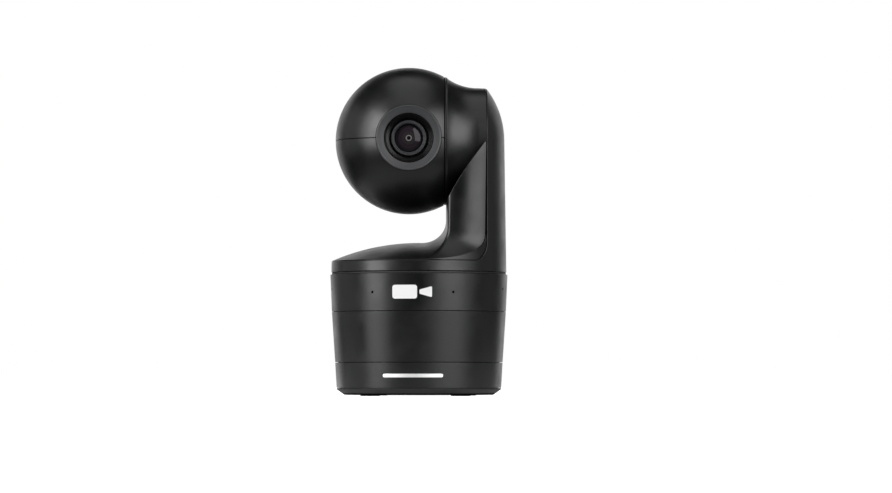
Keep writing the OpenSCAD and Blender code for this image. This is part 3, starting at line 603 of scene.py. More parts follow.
charcoal = moulded("charcoal plastic", (0.0026, 0.0028, 0.0031), 0.36)
bezel_plastic = moulded("bezel plastic", (0.034, 0.035, 0.037), 0.5, 0.3, 0.010)
ring_grey = moulded("lens ring", (0.030, 0.031, 0.033), 0.42, 0.25, 0.006)
black_plastic = moulded("black plastic", (0.006, 0.006, 0.0065), 0.55, 0.4, 0.015)
lens_black = moulded(
    "anodised black", (0.0020, 0.0020, 0.0022), 0.28, 0.25, 0.004, shine=0.3)
rubber = moulded("rubber", (0.010, 0.010, 0.010), 0.8, 0.6, 0.04)
white_print = moulded("white print", (0.80, 0.80, 0.80), 0.4, 0.3, 0.006, 0.04, 0.02)
gear_plastic = moulded("gear plastic", (0.70, 0.69, 0.66), 0.45, 0.5, 0.01, 0.05, 0.03)
steel = metal("bright steel", (0.60, 0.60, 0.62), 0.28)
plated = metal("plated sockets", (0.62, 0.61, 0.58), 0.32, 0.8)
alloy = metal("cast alloy", (0.55, 0.56, 0.58), 0.42, 0.5, 0.02)
brass = metal("brass", (0.62, 0.44, 0.17), 0.3)
boards = circuit_board("circuit board")
lens_coat = coated_glass("coated lens")
guide = light_guide("light guide")

# ---------- base

AROUND = 240
UNROLL_R = 70           # radius at which the base's wall is unrolled
BAND_EDGE = 0.25


def base_surface(s, z):
    """Wall of the base; s is the arc from the front."""
    a = s / UNROLL_R
    r = radius_at(z)
    slope = (radius_at(z + 0.05) - radius_at(z - 0.05)) / 0.1
    out = xyz(np.sin(a), -np.cos(a), np.zeros_like(a))
    p = out * np.asarray(r)[:, None]
    p[:, 2] = z
    n = out.copy()
    n[:, 2] = -slope
    return p, n


def band_loop(z0, z1, rows):
    """The unrolled outline of a band all round the base."""
    half = math.pi * UNROLL_R
    s, z = np.linspace(-half, half, AROUND + 1), np.linspace(z0, z1, rows + 1)
    return np.vstack([
        xyz(s[:-1], np.full(AROUND, z0)),
        xyz(np.full(rows, half), z[:-1]),
        xyz(s[:0:-1], np.full(AROUND, z1)),
        xyz(np.full(rows, -half), z[:0:-1]),
    ])


def round_hole(angle, z, r, points=20):
    a = np.linspace(0, 2 * math.pi, points, endpoint=False)
    return xyz(math.radians(angle) * UNROLL_R + r * np.cos(a), z + r * np.sin(a))


def turned_skin(outline, along, closed=True):
    """A [radius, height] outline turned about the pan axis; along is its direction at points."""
    p, f = lathe(outline, AROUND, closed)
    n = []
    for i in range(AROUND):
        a = 2 * math.pi * i / AROUND
        n += [(dz * math.cos(a), dz * math.sin(a), -dr) for dr, dz in along]
    return Skin(p, n, f).faced()


def turned_ring(outline):
    """A closed ring about the pan axis, with its corners rounded; the outline runs anticlockwise."""
    outline = rounded(outline, 0.15, True, 2)
    ahead = unit(np.roll(outline, -1, axis=0) - outline)
    return turned_skin(outline, ahead + np.roll(ahead, 1, axis=0))


def seam_lip(z):
    """The lip inside a cover that stands up behind the seam at that height."""
    r = radius_at(z) - WALL
    return turned_ring([
        (r - 1.3, z - 1.6), (r + 0.3, z - 1.6), (r + 0.3, z - SEAM), (r - 0.1, z - SEAM),
        (r - 0.1, z + 1.5), (r - 1.3, z + 1.5),
    ])


def base_band(name, z0, z1, holes, spacing, hole_edge, surface, lip=None):
    """A cover all round the base, with rolled edges, and the lip behind the seam above it."""
    z0, z1 = z0 + BAND_EDGE, z1 - BAND_EDGE
    skin = sheet([band_loop(z0, z1, max(4, int((z1 - z0) / 4)))] + holes, spacing, surface)
    skin = skin.welded(1e-3)

    def radius(middle):
        return BAND_EDGE if abs(middle[0]) + abs(middle[1]) < 1 else hole_edge

    shell = rolled(skin, radius, WALL - 0.05)
    if lip:
        shell = shell.joined(seam_lip(lip))
    placed(skin_object(name, shell), "base", [name], charcoal)


def slot_loop(grow):
    """The light bar's slot, unrolled."""
    r = BAR_H / 2 + grow
    reach = math.radians(BAR_HALF) * UNROLL_R
    widen = UNROLL_R / 68
    a = np.radians(np.linspace(-90, 90, 13))
    right = xyz(reach + r * np.cos(a) * widen, BAR_Z + r * np.sin(a))
    left = xyz(-reach - r * np.cos(a) * widen, BAR_Z - r * np.sin(a))
    span = np.linspace(reach, -reach, 30)[1:-1]
    top = xyz(span, np.full(len(span), BAR_Z + r))
    bottom = xyz(-span, np.full(len(span), BAR_Z - r))
    return np.vstack([right, top, left, bottom])


base_band(
    "lower_ring", FOOT_Z + SEAM / 2, SKIRT_Z - SEAM / 2, [slot_loop(0.5)], 3.2, 0.2, base_surface,
    SKIRT_Z,
)


def divided(loop, size):
    """A closed outline with its long sides cut into steps of at least that size."""
    out = []
    for a, b in zip(loop, np.roll(loop, -1, axis=0)):
        steps = max(1, int(np.linalg.norm(b - a) / size))
        out += [a + (b - a) * i / steps for i in range(steps)]
    return np.array(out)


# The rear opening is upright in the middle plane, so its sides are arcsines round the wall. It is
# cut a little larger than in the solid, to leave room for its rolled edge.
PORT_CORNER = 3.0
PORT_MIDDLE = (PORT_Z0 + PORT_Z1) / 2
port = [(-PORT_W, PORT_Z0), (PORT_W, PORT_Z0), (PORT_W, PORT_Z1), (-PORT_W, PORT_Z1)]
port_x, port_z = divided(rounded(port, PORT_CORNER, True, 5), 2.5).T
rear = xyz(
    np.arcsin(port_x * 1.01 / radius_at(port_z)) * UNROLL_R,
    (port_z - PORT_MIDDLE) * 1.03 + PORT_MIDDLE,
)


def rear_surface(s, z):
    p, n = base_surface(s, z)
    return p * [-1, -1, 1], n * [-1, -1, 1]


base_band(
    "barrel", SKIRT_Z + SEAM / 2, WAIST_Z - SEAM / 2, [rear], 3.6, 0.4, rear_surface, WAIST_Z)

# Angle from the front and height of each microphone hole
MICROPHONES = [(-76, 87), (-27, 83.7), (27, 83.7), (76, 87), (135, 87), (-135, 87)]
base_band(
    "microphone_ring", WAIST_Z + SEAM / 2, RING_Z,
    [round_hole(a, z, MIC_R + 0.12) for a, z in MICROPHONES], 3.4, 0.12, base_surface,
)

BAR_SINK = 0.9935       # the light bar's radius as a share of the wall's


def bar_surface(s, z):
    p, n = base_surface(s, z)
    return p * [BAR_SINK, BAR_SINK, 1], n


bar = sheet([slot_loop(-0.3)], 2.2, bar_surface)
placed(skin_object("light_bar", rolled(bar, 0.3, 3.0)), "base", ["light_bar"], guide)


# The badge is a plain camera sign, printed just proud of the microphone ring.
def badge_surface(s, z):
    p, n = base_surface(s, z)
    return p + unit(n) * 0.3, n


def sign_loop(outline, radii):
    fine = divided(rounded(outline, radii, True, 6), 1.2)
    return (fine + [0, BADGE_Z]) * [UNROLL_R / radius_at(BADGE_Z), 1]


w, h = BADGE_W / 2, BADGE_H / 2
body_end = -w + 20
sign_body = sign_loop([(-w, -h), (body_end, -h), (body_end, h), (-w, h)], 2)
sign_snout = sign_loop([(6, -1.6), (w, -4.4), (w, 4.4), (6, 1.6)], 0.7)
sign = sheet([sign_body], 1.8, badge_surface).joined(sheet([sign_snout], 1.5, badge_surface))
placed(
    skin_object("front_badge", rolled(sign, 0.04, 0.27, 2)),
    "base", ["front_badge"], white_print,
)


# Bottom plate: a turned rim, and a flat sole with recesses
def ring_of(r, angles):
    return [(r * math.cos(math.radians(a)), r * math.sin(math.radians(a))) for a in angles]


FEET = ring_of(PAD_AT, range(45, 360, 90))
SCREWS = ring_of(SCREW_AT, (30, 150, 210, 330))


def circle(x, y, r, points=48):
    a = np.linspace(0, 2 * math.pi, points, endpoint=False)
    return xyz(x + r * np.cos(a), y + r * np.sin(a))


def flat_down(z):
    def surface(x, y):
        return xyz(x, y, np.full_like(x, z)), np.tile([0.0, 0.0, -1.0], (len(x), 1))

    return surface


def walls(loop, z0, z1):
    """The upright wall of a recess, seen from inside it."""
    size = len(loop)
    middle = loop.mean(0)
    out = unit(middle - loop)
    p = np.vstack([np.column_stack([loop, np.full(size, z)]) for z in (z0, z1)])
    n = np.column_stack([np.vstack([out, out]), np.zeros(2 * size)])
    faces = [(k, (k + 1) % size, size + (k + 1) % size, size + k) for k in range(size)]
    return Skin(p, n, faces).faced()


pad_holes = [circle(x, y, PAD_R + 0.1) for x, y in FEET]
screw_holes = [circle(x, y, SCREW_HOLE_R) for x, y in SCREWS]
recesses = pad_holes + screw_holes + [circle(0, 0, INSERT_R)]
depths = [PAD_TOP] * len(FEET) + [SCREW_HOLE_TOP] * len(SCREWS) + [INSERT_TOP]
sole = sheet([circle(0, 0, SOLE_R - 0.5, AROUND)] + recesses, 4, flat_down(SOLE_Z))
parts = [walls(loop, SOLE_Z, z) for loop, z in zip(recesses, depths)]
parts += [sheet([loop], 4, flat_down(PAD_TOP)) for loop in pad_holes]
parts += [sheet([loop], 2, flat_down(SCREW_HOLE_TOP)) for loop in screw_holes]
edge = rounded(
    [(SOLE_R - 0.5, SOLE_Z), (SOLE_R, SOLE_Z), (FOOT_R, FOOT_Z - 1), (FOOT_R, FOOT_Z),
     (FOOT_R - WALL, FOOT_Z), (FOOT_R - WALL - 2, FLOOR_Z), (INSERT_R + 3, FLOOR_Z),
     (INSERT_R + 3, INSERT_TOP + 0.6), (INSERT_R, INSERT_TOP + 0.6), (INSERT_R, INSERT_TOP)],
    [0, 0.5, 1.0, 0.4, 0.3, 0.3, 0.3, 0.3, 0.3, 0], False, 4,
)
rim = turned_skin(edge, np.gradient(edge, axis=0), False)
placed(
    skin_object("bottom_plate", rim.joined(sole, *parts, seam_lip(FOOT_Z))),
    "base", ["bottom_plate"], black_plastic,
)

feet_p, feet_f = [], []
pad = rounded([(0, 0), (PAD_R, 0), (PAD_R, PAD_TOP), (0, PAD_TOP)], [0, 0.7, 0.15, 0], True, 5)
pad_p, pad_f = lathe(pad, 64)
for x, y in FEET:
    feet_f += [tuple(i + len(feet_p) for i in f) for f in pad_f]
    feet_p += [(q[0] + x, q[1] + y, q[2]) for q in pad_p]
placed(mesh_object("rubber_feet", feet_p, feet_f), "base", ["rubber_feet"], rubber)

placed(
    lathe_object(
        "top_cover_ring",
        [(34, 98.0), (69.8, 98.0), (69.8, 99.1), (71.2, 99.1), (71.2, 100.45), (68.6, 100.45),
         (68.6, 99.4), (34, 99.4)],
        [0.3, 0.3, 0, 0.2, 0.2, 0.2, 0.2, 0.3], AROUND,
    ),
    "base", ["top_cover_ring"], black_plastic,
)

# ---------- turntable and arm


def arm_wall_radius(v):
    """Radius of the outer wall; v is the height, and above the tilt axis the arc up a sphere."""
    rise = np.maximum(v - TILT_Z, 0) / ARM_R
    return np.where(v < TILT_Z, arm_radius(v), ARM_R * np.cos(rise))


def arm_surface(s, v):
    """Outer wall of the turntable and arm: a cone, and a sphere above the tilt axis.

    s is the arc from +X.
    """
    a = s / ARM_R
    rise = np.maximum(v - TILT_Z, 0) / ARM_R
    r = arm_wall_radius(v)
    z = np.where(v < TILT_Z, v, TILT_Z + ARM_R * np.sin(rise))
    out = xyz(np.cos(a), np.sin(a))
    p = np.column_stack([out * r[:, None], z])
    lean = (RIM_R - ARM_R) / (TILT_Z - RIM_Z) * np.clip((TILT_Z - v) / 8, 0, 1)
    n = np.column_stack([out * np.cos(rise)[:, None], np.sin(rise) + lean])
    return p, n


def arm_seam_angle(x, v):
    """Angle about the pan axis at which the outer wall is at that x."""
    return np.arccos(np.clip(x / arm_wall_radius(v), -1, 1))


def outer_cover_outline(back):
    """Half of the outer cover's free edge, unrolled: the rim from its back, and up the arm."""
    x1, z0 = SPLIT_X + back, RIM_TOP - back
    a = np.radians(np.linspace(0, 90, 15))
    cx, cz = x1 - CORNER_X * (1 - np.sin(a)), z0 + CORNER_Z * (1 - np.cos(a))
    corner = xyz(arm_seam_angle(cx, cz) * ARM_R, cz)
    rim_s = np.linspace(math.pi * ARM_R, corner[0, 0], 84)[:-1]
    rim = xyz(rim_s, np.full(len(rim_s), z0))
    v = np.linspace(corner[-1, 1], TILT_Z, 42)[1:]
    side = xyz(arm_seam_angle(x1, v) * ARM_R, v)
    t = np.radians(np.linspace(0, 90, 26))[1:]
    reach = math.sqrt(ARM_R**2 - x1**2)
    y, z = reach * np.cos(t), reach * np.sin(t)
    top = xyz(np.arctan2(y, x1), TILT_Z / ARM_R + np.arcsin(z / ARM_R)) * ARM_R
    return np.vstack([rim, corner, side, top])


def outer_cover_edge(back):
    """The whole free edge, from the back of the rim over the arm and round to the back again."""
    half = outer_cover_outline(back)
    return np.vstack([half, half[-2::-1] * [-1, 1]])


ROLL = 0.5
HALF_TURN = math.pi * ARM_R
UNDER = RIM_Z + 0.4
bottom_s = np.linspace(-HALF_TURN, HALF_TURN, AROUND + 1)
bottom = xyz(bottom_s, np.full(len(bottom_s), UNDER))
rows = np.linspace(UNDER, RIM_TOP - ROLL, 5)[1:-1]
rise = xyz(np.full(len(rows), HALF_TURN), rows)
fall = xyz(np.full(len(rows), -HALF_TURN), rows[::-1])
outline = np.vstack([bottom, rise, outer_cover_edge(ROLL), fall])
outer = sheet([outline], 3.2, arm_surface).welded(1e-3)


def backing(edge_in, edge_out, depth):
    """A strip behind the seam, on the inner side of the outer cover."""
    rows = [outer_cover_edge(back) for back in (edge_in, edge_out)]
    skins = [arm_surface(row[:, 0], row[:, 1]) for row in rows]
    p = np.vstack([q - depth * unit(n) for q, n in skins])
    count = len(rows[0])
    faces = [(i, i + 1, i + 1 + count, i + count) for i in range(count - 1)]
    return rolled(Skin(p, np.vstack([n for _, n in skins]), faces).faced(), 0.05, 0.5)


outer = rolled(outer, ROLL, WALL - 0.1).joined(backing(-0.7, 1.5, 1.5))
placed(
    skin_object("arm_outer_cover", outer),
    "turntable_assembly", ["arm_outer_cover"], charcoal, TURN,
)


# Front cover: dome, flank with its flared foot, and collar
def dome_z(x, y):
    return DOME_TOP - DOME_R + np.sqrt(np.maximum(DOME_R**2 - x * x - y * y, 1))


def on_dome(x, y):
    z = dome_z(x, y)
    return xyz(x, y, z), xyz(x, y, z - DOME_TOP + DOME_R)


def dome_surface(a, r):
    return on_dome(r * np.cos(a), r * np.sin(a))


def dome_settle(p):
    return on_dome(p[:, 0], p[:, 1])


FOOT_Y = math.sqrt(arm_radius(RIM_TOP) ** 2 - SPLIT_X**2)
TOP_Y = math.sqrt(ARM_R**2 - SPLIT_X**2)
HALF_X = SPLIT_X - INNER_X

# The arm in plan, from the middle of its inner side round the front to the seam: a nearly flat
# side, a tight corner and a full front
FRONT_Y = TOP_Y - math.sqrt(ARM_FRONT_R**2 - (SPLIT_X - ARM_CREST_X) ** 2)
FRONT_END = math.asin((SPLIT_X - ARM_CREST_X) / ARM_FRONT_R)
TURN_X = INNER_X + ARM_BULGE + ARM_CORNER_R
FRONT_START = math.asin((ARM_CREST_X - TURN_X) / (ARM_FRONT_R - ARM_CORNER_R))
CORNER_Y = FRONT_Y + (ARM_FRONT_R - ARM_CORNER_R) * math.cos(FRONT_START)
side_t = np.linspace(0, 1, 13)[:-1]
turn_t = np.linspace(0, math.pi / 2 - FRONT_START, 13)
front_t = np.linspace(-FRONT_START, FRONT_END, 26)[1:]
plan_x = np.concatenate([
    INNER_X + ARM_BULGE * side_t**2,
    TURN_X - ARM_CORNER_R * np.cos(turn_t),
    ARM_CREST_X + ARM_FRONT_R * np.sin(front_t),
])
plan_y = np.concatenate([
    CORNER_Y * side_t,
    CORNER_Y + ARM_CORNER_R * np.sin(turn_t),
    FRONT_Y + ARM_FRONT_R * np.cos(front_t),
])
PLAN = xyz((SPLIT_X - plan_x) / HALF_X, plan_y / TOP_Y)
PLAN_T = np.arange(len(PLAN), dtype=float)
CORNER_K = len(side_t)


def crease(x):
    """Height of the crease where the arm meets the collar."""
    t = np.maximum(SPLIT_X - x, 0)
    return TILT_Z - 1.36 * t - 0.012 * np.maximum(t - 12, 0) ** 2


LEDGE_R = 0.8
RISE_END, TURN_END, LEDGE_END = 2.0, 2.3, 3.0       # levels up the flank


def flank_point(t, level):
    """t runs round the arm in plan, from the back seam at -1 to the front seam at 1.

    level is 0 at the dome, 1 where the flare ends, 2 just under the crease, and 3 inside the
    collar. The ledge at the crease runs round the front and the back, and not along the inner side.
    """
    k = np.abs(t) * PLAN_T[-1]
    u, v = np.interp(k, PLAN_T, PLAN[:, 0]), np.interp(k, PLAN_T, PLAN[:, 1])
    turn = np.radians(90 * (1 - np.clip(level, 0, 1)))
    out = FILLET_R * (1 - np.cos(turn))
    x = SPLIT_X - (HALF_X + out) * u
    y = (FOOT_Y + out) * v
    foot_z = dome_z(x, y) + FILLET_R * (1 - np.sin(turn))
    up = np.clip(level - 1, 0, 1)
    y = y + (TOP_Y - FOOT_Y) * v * up
    z = foot_z + (crease(x) - LEDGE_R - foot_z) * up
    ledge = np.clip(k - CORNER_K + 1, 0, 1)
    bend = np.radians(90 * np.clip((level - RISE_END) / (TURN_END - RISE_END), 0, 1))
    y = y - LEDGE_R * (1 - np.cos(bend)) * ledge
    z = z + LEDGE_R * np.sin(bend) * ledge
    inward = np.clip((level - TURN_END) / (LEDGE_END - TURN_END), 0, 1) * ledge
    return xyz(x, -np.sign(t) * y * (1 - 0.7 * inward), z)


def flank_surface(t, level):
    """The flank with its normals, from differences on the same side of each change of curve."""
    p = flank_point(t, level)
    e = 1e-3
    dt = flank_point(np.clip(t + e, -1, 1), level) - flank_point(np.clip(t - e, -1, 1), level)
    lo, hi = np.clip(level - e, 0, LEDGE_END), np.clip(level + e, 0, LEDGE_END)
    lo = np.where((level >= 1) & (lo < 1), level, lo)
    dl = flank_point(t, hi) - flank_point(t, lo)
    n = unit(np.cross(dt, dl))
    slope = (crease(p[:, 0] + 0.1) - crease(p[:, 0])) / 0.1
    upward = unit(xyz(-slope, np.zeros_like(slope), np.ones_like(slope)))
    on_side = np.abs(t) * PLAN_T[-1] <= CORNER_K - 1
    n = np.where(((level > TURN_END - 0.01) & ~on_side)[:, None], upward, n)
    below = flank_point(t, np.minimum(level, RISE_END) - e)
    wall = unit(np.cross(dt, flank_point(t, np.minimum(level, RISE_END)) - below))
    return p, np.where(((level > RISE_END - 0.01) & on_side)[:, None], wall, n)


# The collar narrows from the ball in a hollow curve, and is nearly straight towards the seam.
HUB_TAPER = 0.3
HUB_FACE_R = math.sqrt(HEAD_R**2 - (FACE_X - HEAD_X) ** 2)
HUB_DROP = HUB_FACE_R - TOP_Y - HUB_TAPER
HUB_RUN = HUB_BEND_X - HUB_X
HUB_CURVE = (HUB_RUN**2 + HUB_DROP**2) / (2 * HUB_DROP)


def hub_radius(x):
    d = np.clip(HUB_BEND_X - x, 0, HUB_RUN + 2)
    bend = TOP_Y + HUB_TAPER + HUB_CURVE - np.sqrt(HUB_CURVE**2 - d * d)
    straight = TOP_Y + HUB_TAPER * (SPLIT_X - x) / (SPLIT_X - HUB_BEND_X)
    return np.where(x < HUB_BEND_X, bend, straight)


def hub_surface(a, x):
    r = hub_radius(x)
    slope = (hub_radius(x + 0.05) - hub_radius(x - 0.05)) / 0.1
    p = xyz(x, r * np.cos(a), TILT_Z + r * np.sin(a))
    return p, xyz(-slope, np.cos(a), np.sin(a))


def hub_settle(p):
    a = np.arctan2(p[:, 2] - TILT_Z, p[:, 1])
    return hub_surface(a, np.clip(p[:, 0], HUB_X, SPLIT_X))


def in_zone(p, back):
    """How far points are inside the front cover's side of the seam."""
    x1, z0 = SPLIT_X - back, RIM_TOP + back
    x, z = p[:, 0], p[:, 2]
    cx, cz = x1 - CORNER_X, z0 + CORNER_Z
    u, w = (x - cx) / CORNER_X, (cz - z) / CORNER_Z
    rounded_part = (1 - np.sqrt(np.maximum(u, 0) ** 2 + np.maximum(w, 0) ** 2)) * CORNER_X
    straight = np.minimum(x1 - x, z - z0)
    return np.where((u > 0) & (w > 0), rounded_part, straight)


def in_wall(p, back):
    """How far points are inside the arm's outer wall."""
    r = np.hypot(p[:, 0], p[:, 1])
    low = arm_radius(p[:, 2]) - r
    ball = ARM_R - np.sqrt(r**2 + (p[:, 2] - TILT_Z) ** 2)
    return np.where(p[:, 2] < TILT_Z, low, ball) - back


LIP = 0.3
WALL_GAP = 0.05


def off_seam(p):
    return in_zone(p, SEAM + LIP)


def in_front_cover(p):
    return np.minimum(off_seam(p), in_wall(p, WALL_GAP + LIP))


def off_flank(p, margin):
    """How far points are outside the arm's plan, grown by a margin."""
    u = (SPLIT_X - p[:, 0]) / (HALF_X + margin)
    v = np.abs(p[:, 1]) / (FOOT_Y + margin)
    order = np.argsort(PLAN[:, 0], kind="stable")
    depth = np.interp(u, PLAN[order, 0], PLAN[order, 1])
    return np.where(u > 1, u - 1, v - np.where(u > 0.9999, 0, depth))


dome = grid(
    dome_surface, np.linspace(0, 2 * math.pi, AROUND, endpoint=False), np.linspace(0.02, 71.3, 30),
    True,
)
dome = clip(dome, lambda p: in_wall(p, WALL_GAP + LIP), dome_settle)
dome = clip(dome, lambda p: off_flank(p, FILLET_R - 1.0), dome_settle)
dome = clip(dome, off_seam, dome_settle)

levels = np.concatenate([
    np.linspace(0, 1, 17), 1 + np.linspace(0, 1, 46)[1:],
    np.linspace(RISE_END, TURN_END, 5)[1:], np.linspace(TURN_END, LEDGE_END, 9)[1:],
])
flank_grid = grid(flank_surface, np.linspace(-1, 1, 2 * len(PLAN) - 1), levels).welded()
flank_tree = KDTree(len(flank_grid.p))
for i, q in enumerate(flank_grid.p):
    flank_tree.insert(q, i)
flank_tree.balance()


def flank_settle(p):
    """Points stay on the grid's faces, and take the normals of the grid's nearest points."""
    n = np.empty_like(p)
    for k, q in enumerate(p):
        near = flank_tree.find_n(q, 4)
        n[k] = sum(flank_grid.n[i] / (d + 1e-4) for _, i, d in near)
    return p, unit(n)


def off_hub(p, depth):
    """How far points are outside the collar, taken in by a depth."""
    return np.hypot(p[:, 1], p[:, 2] - TILT_Z) - hub_radius(p[:, 0]) + depth


flank = clip(flank_grid, in_front_cover, flank_settle)
flank = clip(flank, lambda p: off_hub(p, 1.2), flank_settle)
hub = grid(
    hub_surface, np.linspace(0, 2 * math.pi, 200, endpoint=False),
    np.linspace(HUB_X + 0.25, SPLIT_X - SEAM - LIP, 26), True,
)


def off_arm(p):
    """Positive outside the arm's plan or above the crease."""
    return np.maximum(off_flank(p, -1.0), (p[:, 2] - crease(p[:, 0]) + 1.0) / 40)


hub = clip(hub, off_arm, hub_settle)

# The collar's inner face closes it behind the ball. It is turned about Z and laid along X.
face_r = HUB_FACE_R - 0.7
face = turned_ring([(16, HUB_X), (face_r, HUB_X), (face_r, HUB_X + 2), (16, HUB_X + 2)])
face_p, face_n = face.p[:, [2, 1, 0]] * [1, 1, -1], face.n[:, [2, 1, 0]] * [1, 1, -1]
face = Skin(face_p + [0, 0, TILT_Z], face_n, face.f).faced()


def below_flare(p):
    """How far points on the outer wall are below the flared foot."""
    x, y = p[:, 0], np.abs(p[:, 1])
    lo, hi = np.zeros(len(p)), np.full(len(p), FILLET_R)
    for _ in range(20):
        out = (lo + hi) / 2
        u = np.clip((SPLIT_X - x) / (HALF_X + out), 0, 1)
        beyond = y > (FOOT_Y + out) * np.interp(-u, -PLAN[:, 0], PLAN[:, 1])
        lo, hi = np.where(beyond, out, lo), np.where(beyond, hi, out)
    turn = np.arccos(np.clip(1 - lo / FILLET_R, -1, 1))
    return dome_z(x, p[:, 1]) + FILLET_R * (1 - np.sin(turn)) - p[:, 2]


def wall_settle(p):
    return arm_surface(np.arctan2(p[:, 1], p[:, 0]) * ARM_R, p[:, 2])


# Where the flare meets the outer wall, a cheek of that wall closes the corner on each side.
COVER_WALL = 1.6
cover = rolled(dome, LIP, COVER_WALL)
cover = cover.joined(rolled(flank, LIP, COVER_WALL), rolled(hub, 0.25, COVER_WALL), face)
for side in (-1, 1):
    turns = np.linspace(0.6, 1.7, 120) * side
    cheek = grid(arm_surface, turns * ARM_R, np.linspace(RIM_TOP, 131, 60))
    cheek = clip(cheek, off_seam, wall_settle)
    cheek = clip(cheek, lambda p: below_flare(p) - 0.5 * LIP, wall_settle)
    cover = cover.joined(rolled(cheek, LIP, 1.2))
placed(
    skin_object("arm_front_cover", cover),
    "turntable_assembly", ["arm_front_cover"], charcoal, TURN,
)

# ---------- head


def ball_settle(p):
    n = unit(p)
    return n * HEAD_R, n


BEZEL_Y = -math.sqrt(HEAD_R**2 - BEZEL_R**2)
FLAT_X = FACE_X - HEAD_X


def half_plate(side):
    """Half of the ball's flat side, round the shaft."""
    loop = []
    for r, turn in ((HUB_FACE_R - 1.0, 1), (14.3, -1)):
        start = math.asin(0.5 / r)
        a = np.linspace(start, math.pi - start, 90 if turn > 0 else 30)[::turn]
        loop.append(xyz(r * np.cos(a), r * np.sin(a)))

    def flat_side(y, z):
        p = xyz(np.full_like(y, FLAT_X), y, side * z)
        return p, np.tile([1.0, 0.0, 0.0], (len(y), 1))

    return sheet([np.vstack(loop)], 6, flat_side)


def ball_shell(name, side):
    """Half of the ball: split level, cut flat at the arm, and open round the lens."""
    edge = 0.25
    work = bmesh.new()
    bmesh.ops.create_icosphere(work, subdivisions=6, radius=HEAD_R)
    points = np.array([tuple(v.co) for v in work.verts])
    faces = [tuple(v.index for v in f.verts) for f in work.faces]
    work.free()
    askew = Matrix.Rotation(0.37, 3, (1, 0.4, 0.2))     # keeps the mesh's rows off the cuts
    q, n = ball_settle(points @ np.array(askew))
    skin = Skin(q, n, faces).faced()
    skin = clip(skin, lambda p: side * p[:, 2] - SEAM / 2 - edge, ball_settle)
    skin = clip(skin, lambda p: FLAT_X - edge * 0.8 - p[:, 0], ball_settle)
    opening = BEZEL_R + SEAM / 2 + edge

    def off_lens(p):
        return np.where(p[:, 1] < 0, np.hypot(p[:, 0], p[:, 2]) - opening, 30)

    skin = clip(skin, off_lens, ball_settle)
    shell = rolled(skin, edge, WALL - 0.1).joined(rolled(half_plate(side), 0.3, WALL - 0.1))
    placed(skin_object(name, shell), "camera_head", [name], charcoal, HEAD)


ball_shell("head_upper_shell", 1)
ball_shell("head_lower_shell", -1)

# Turned parts on the optical axis: their outlines are [radius, distance from the ball's middle
# towards the front]
OPTIC = HEAD @ Matrix.Rotation(math.pi / 2, 4, "X")


def optical(name, profile, radii, material, around=160):
    obj = lathe_object(name, profile, radii, around)
    placed(obj, "camera_head", [name], material, OPTIC)


front = -BEZEL_Y
optical(
    "lens_bezel",
    [(HOOD_R + 0.1, front - 5), (BEZEL_R, front - 5), (BEZEL_R, front + 0.2),
     (BEZEL_R - 0.7, front + 0.6), (BEZEL_R - 1.5, front + 0.1), (HOOD_R + 0.1, front - 0.8)],
    [0.1, 0.1, 0.25, 0.3, 0.5, 0.4], bezel_plastic,
)
hood = front - 1.4
optical(
    "lens_hood",
    [(THROAT_R - 1.6, 44), (HOOD_R, 44), (HOOD_R, hood + 0.2), (HOOD_R - 0.8, hood + 0.2),
     (18.6, hood - 0.6), (18.4, hood - 1.6), (17.7, hood - 1.7), (17.5, hood - 2.6),
     (16.9, hood - 2.7), (16.7, hood - 3.6), (THROAT_R, hood - 3.7), (THROAT_R, 46.6),
     (15.4, 46.4), (15.3, 45.4), (THROAT_R - 1.6, 45.4)],
    [0.1, 0.1, 0.2, 0.25, 0.2] + [0.15] * 9 + [0.1], lens_black,
)
optical(
    "lens_barrel",
    [(GLASS_R - 1.4, 35.2), (BARREL_R, 35.2), (BARREL_R, BARREL_TOP - 0.6),
     (BARREL_R - 0.5, BARREL_TOP), (13.3, BARREL_TOP), (13.2, BARREL_TOP - 0.3),
     (12.7, BARREL_TOP - 0.3), (12.6, BARREL_TOP), (GLASS_R + 1.0, BARREL_TOP - 0.1),
     (GLASS_R + 0.1, BARREL_TOP - 1.4), (GLASS_R + 0.1, 43), (GLASS_R - 1.4, 43)],
    [0.1, 0.1, 0.2, 0.15, 0.1, 0.1, 0.1, 0.1, 0.2, 0.2, 0.1, 0.1], ring_grey,
)
GLASS_CURVE = 26.0
glass = [(0.0, 43.2), (GLASS_R, 43.2)]
for i in range(15):
    r = GLASS_R * (1 - i / 14)
    glass.append((r, BARREL_TOP - 1.5 - GLASS_CURVE + math.sqrt(GLASS_CURVE**2 - r**2)))
optical("front_glass", glass, 0, lens_coat, 128)

# ---------- pieces that keep their CAD shape

KEPT = [
    (brass, "tripod_insert pan_pinion tilt_bushes tilt_pinion"),
    (steel, """
        base_screws board_standoffs deck_pillars pan_bearing_outer_race
        pan_bearing_balls pan_bearing_inner_race pan_motor pan_stop_pin spindle_nut
        turntable_screws tilt_motor tilt_shaft guide_rods lens_drive_magnets
        iris_plate camera_screws
    """),
    (boards, "light_bar_board main_board driver_board sensor_board"),
    (black_plastic, """
        port_panel power_jack audio_jacks microphone_capsules camera_housing
        zoom_carriage focus_carriage
    """),
    (plated, "ethernet_jack usb_jack hdmi_jack"),
    (alloy, """
        heatsink base_deck pan_spindle turntable arm_frame tilt_bearing_block
        head_bracket
    """),
    (gear_plastic, "pan_gear tilt_gear"),
    (rubber, "arm_cable"),
]
for material, names in KEPT:
    for name in names.split():
        node = frame["nodes"][name]
        node.data.materials.clear()
        node.data.materials.append(material)

# ---------- studio


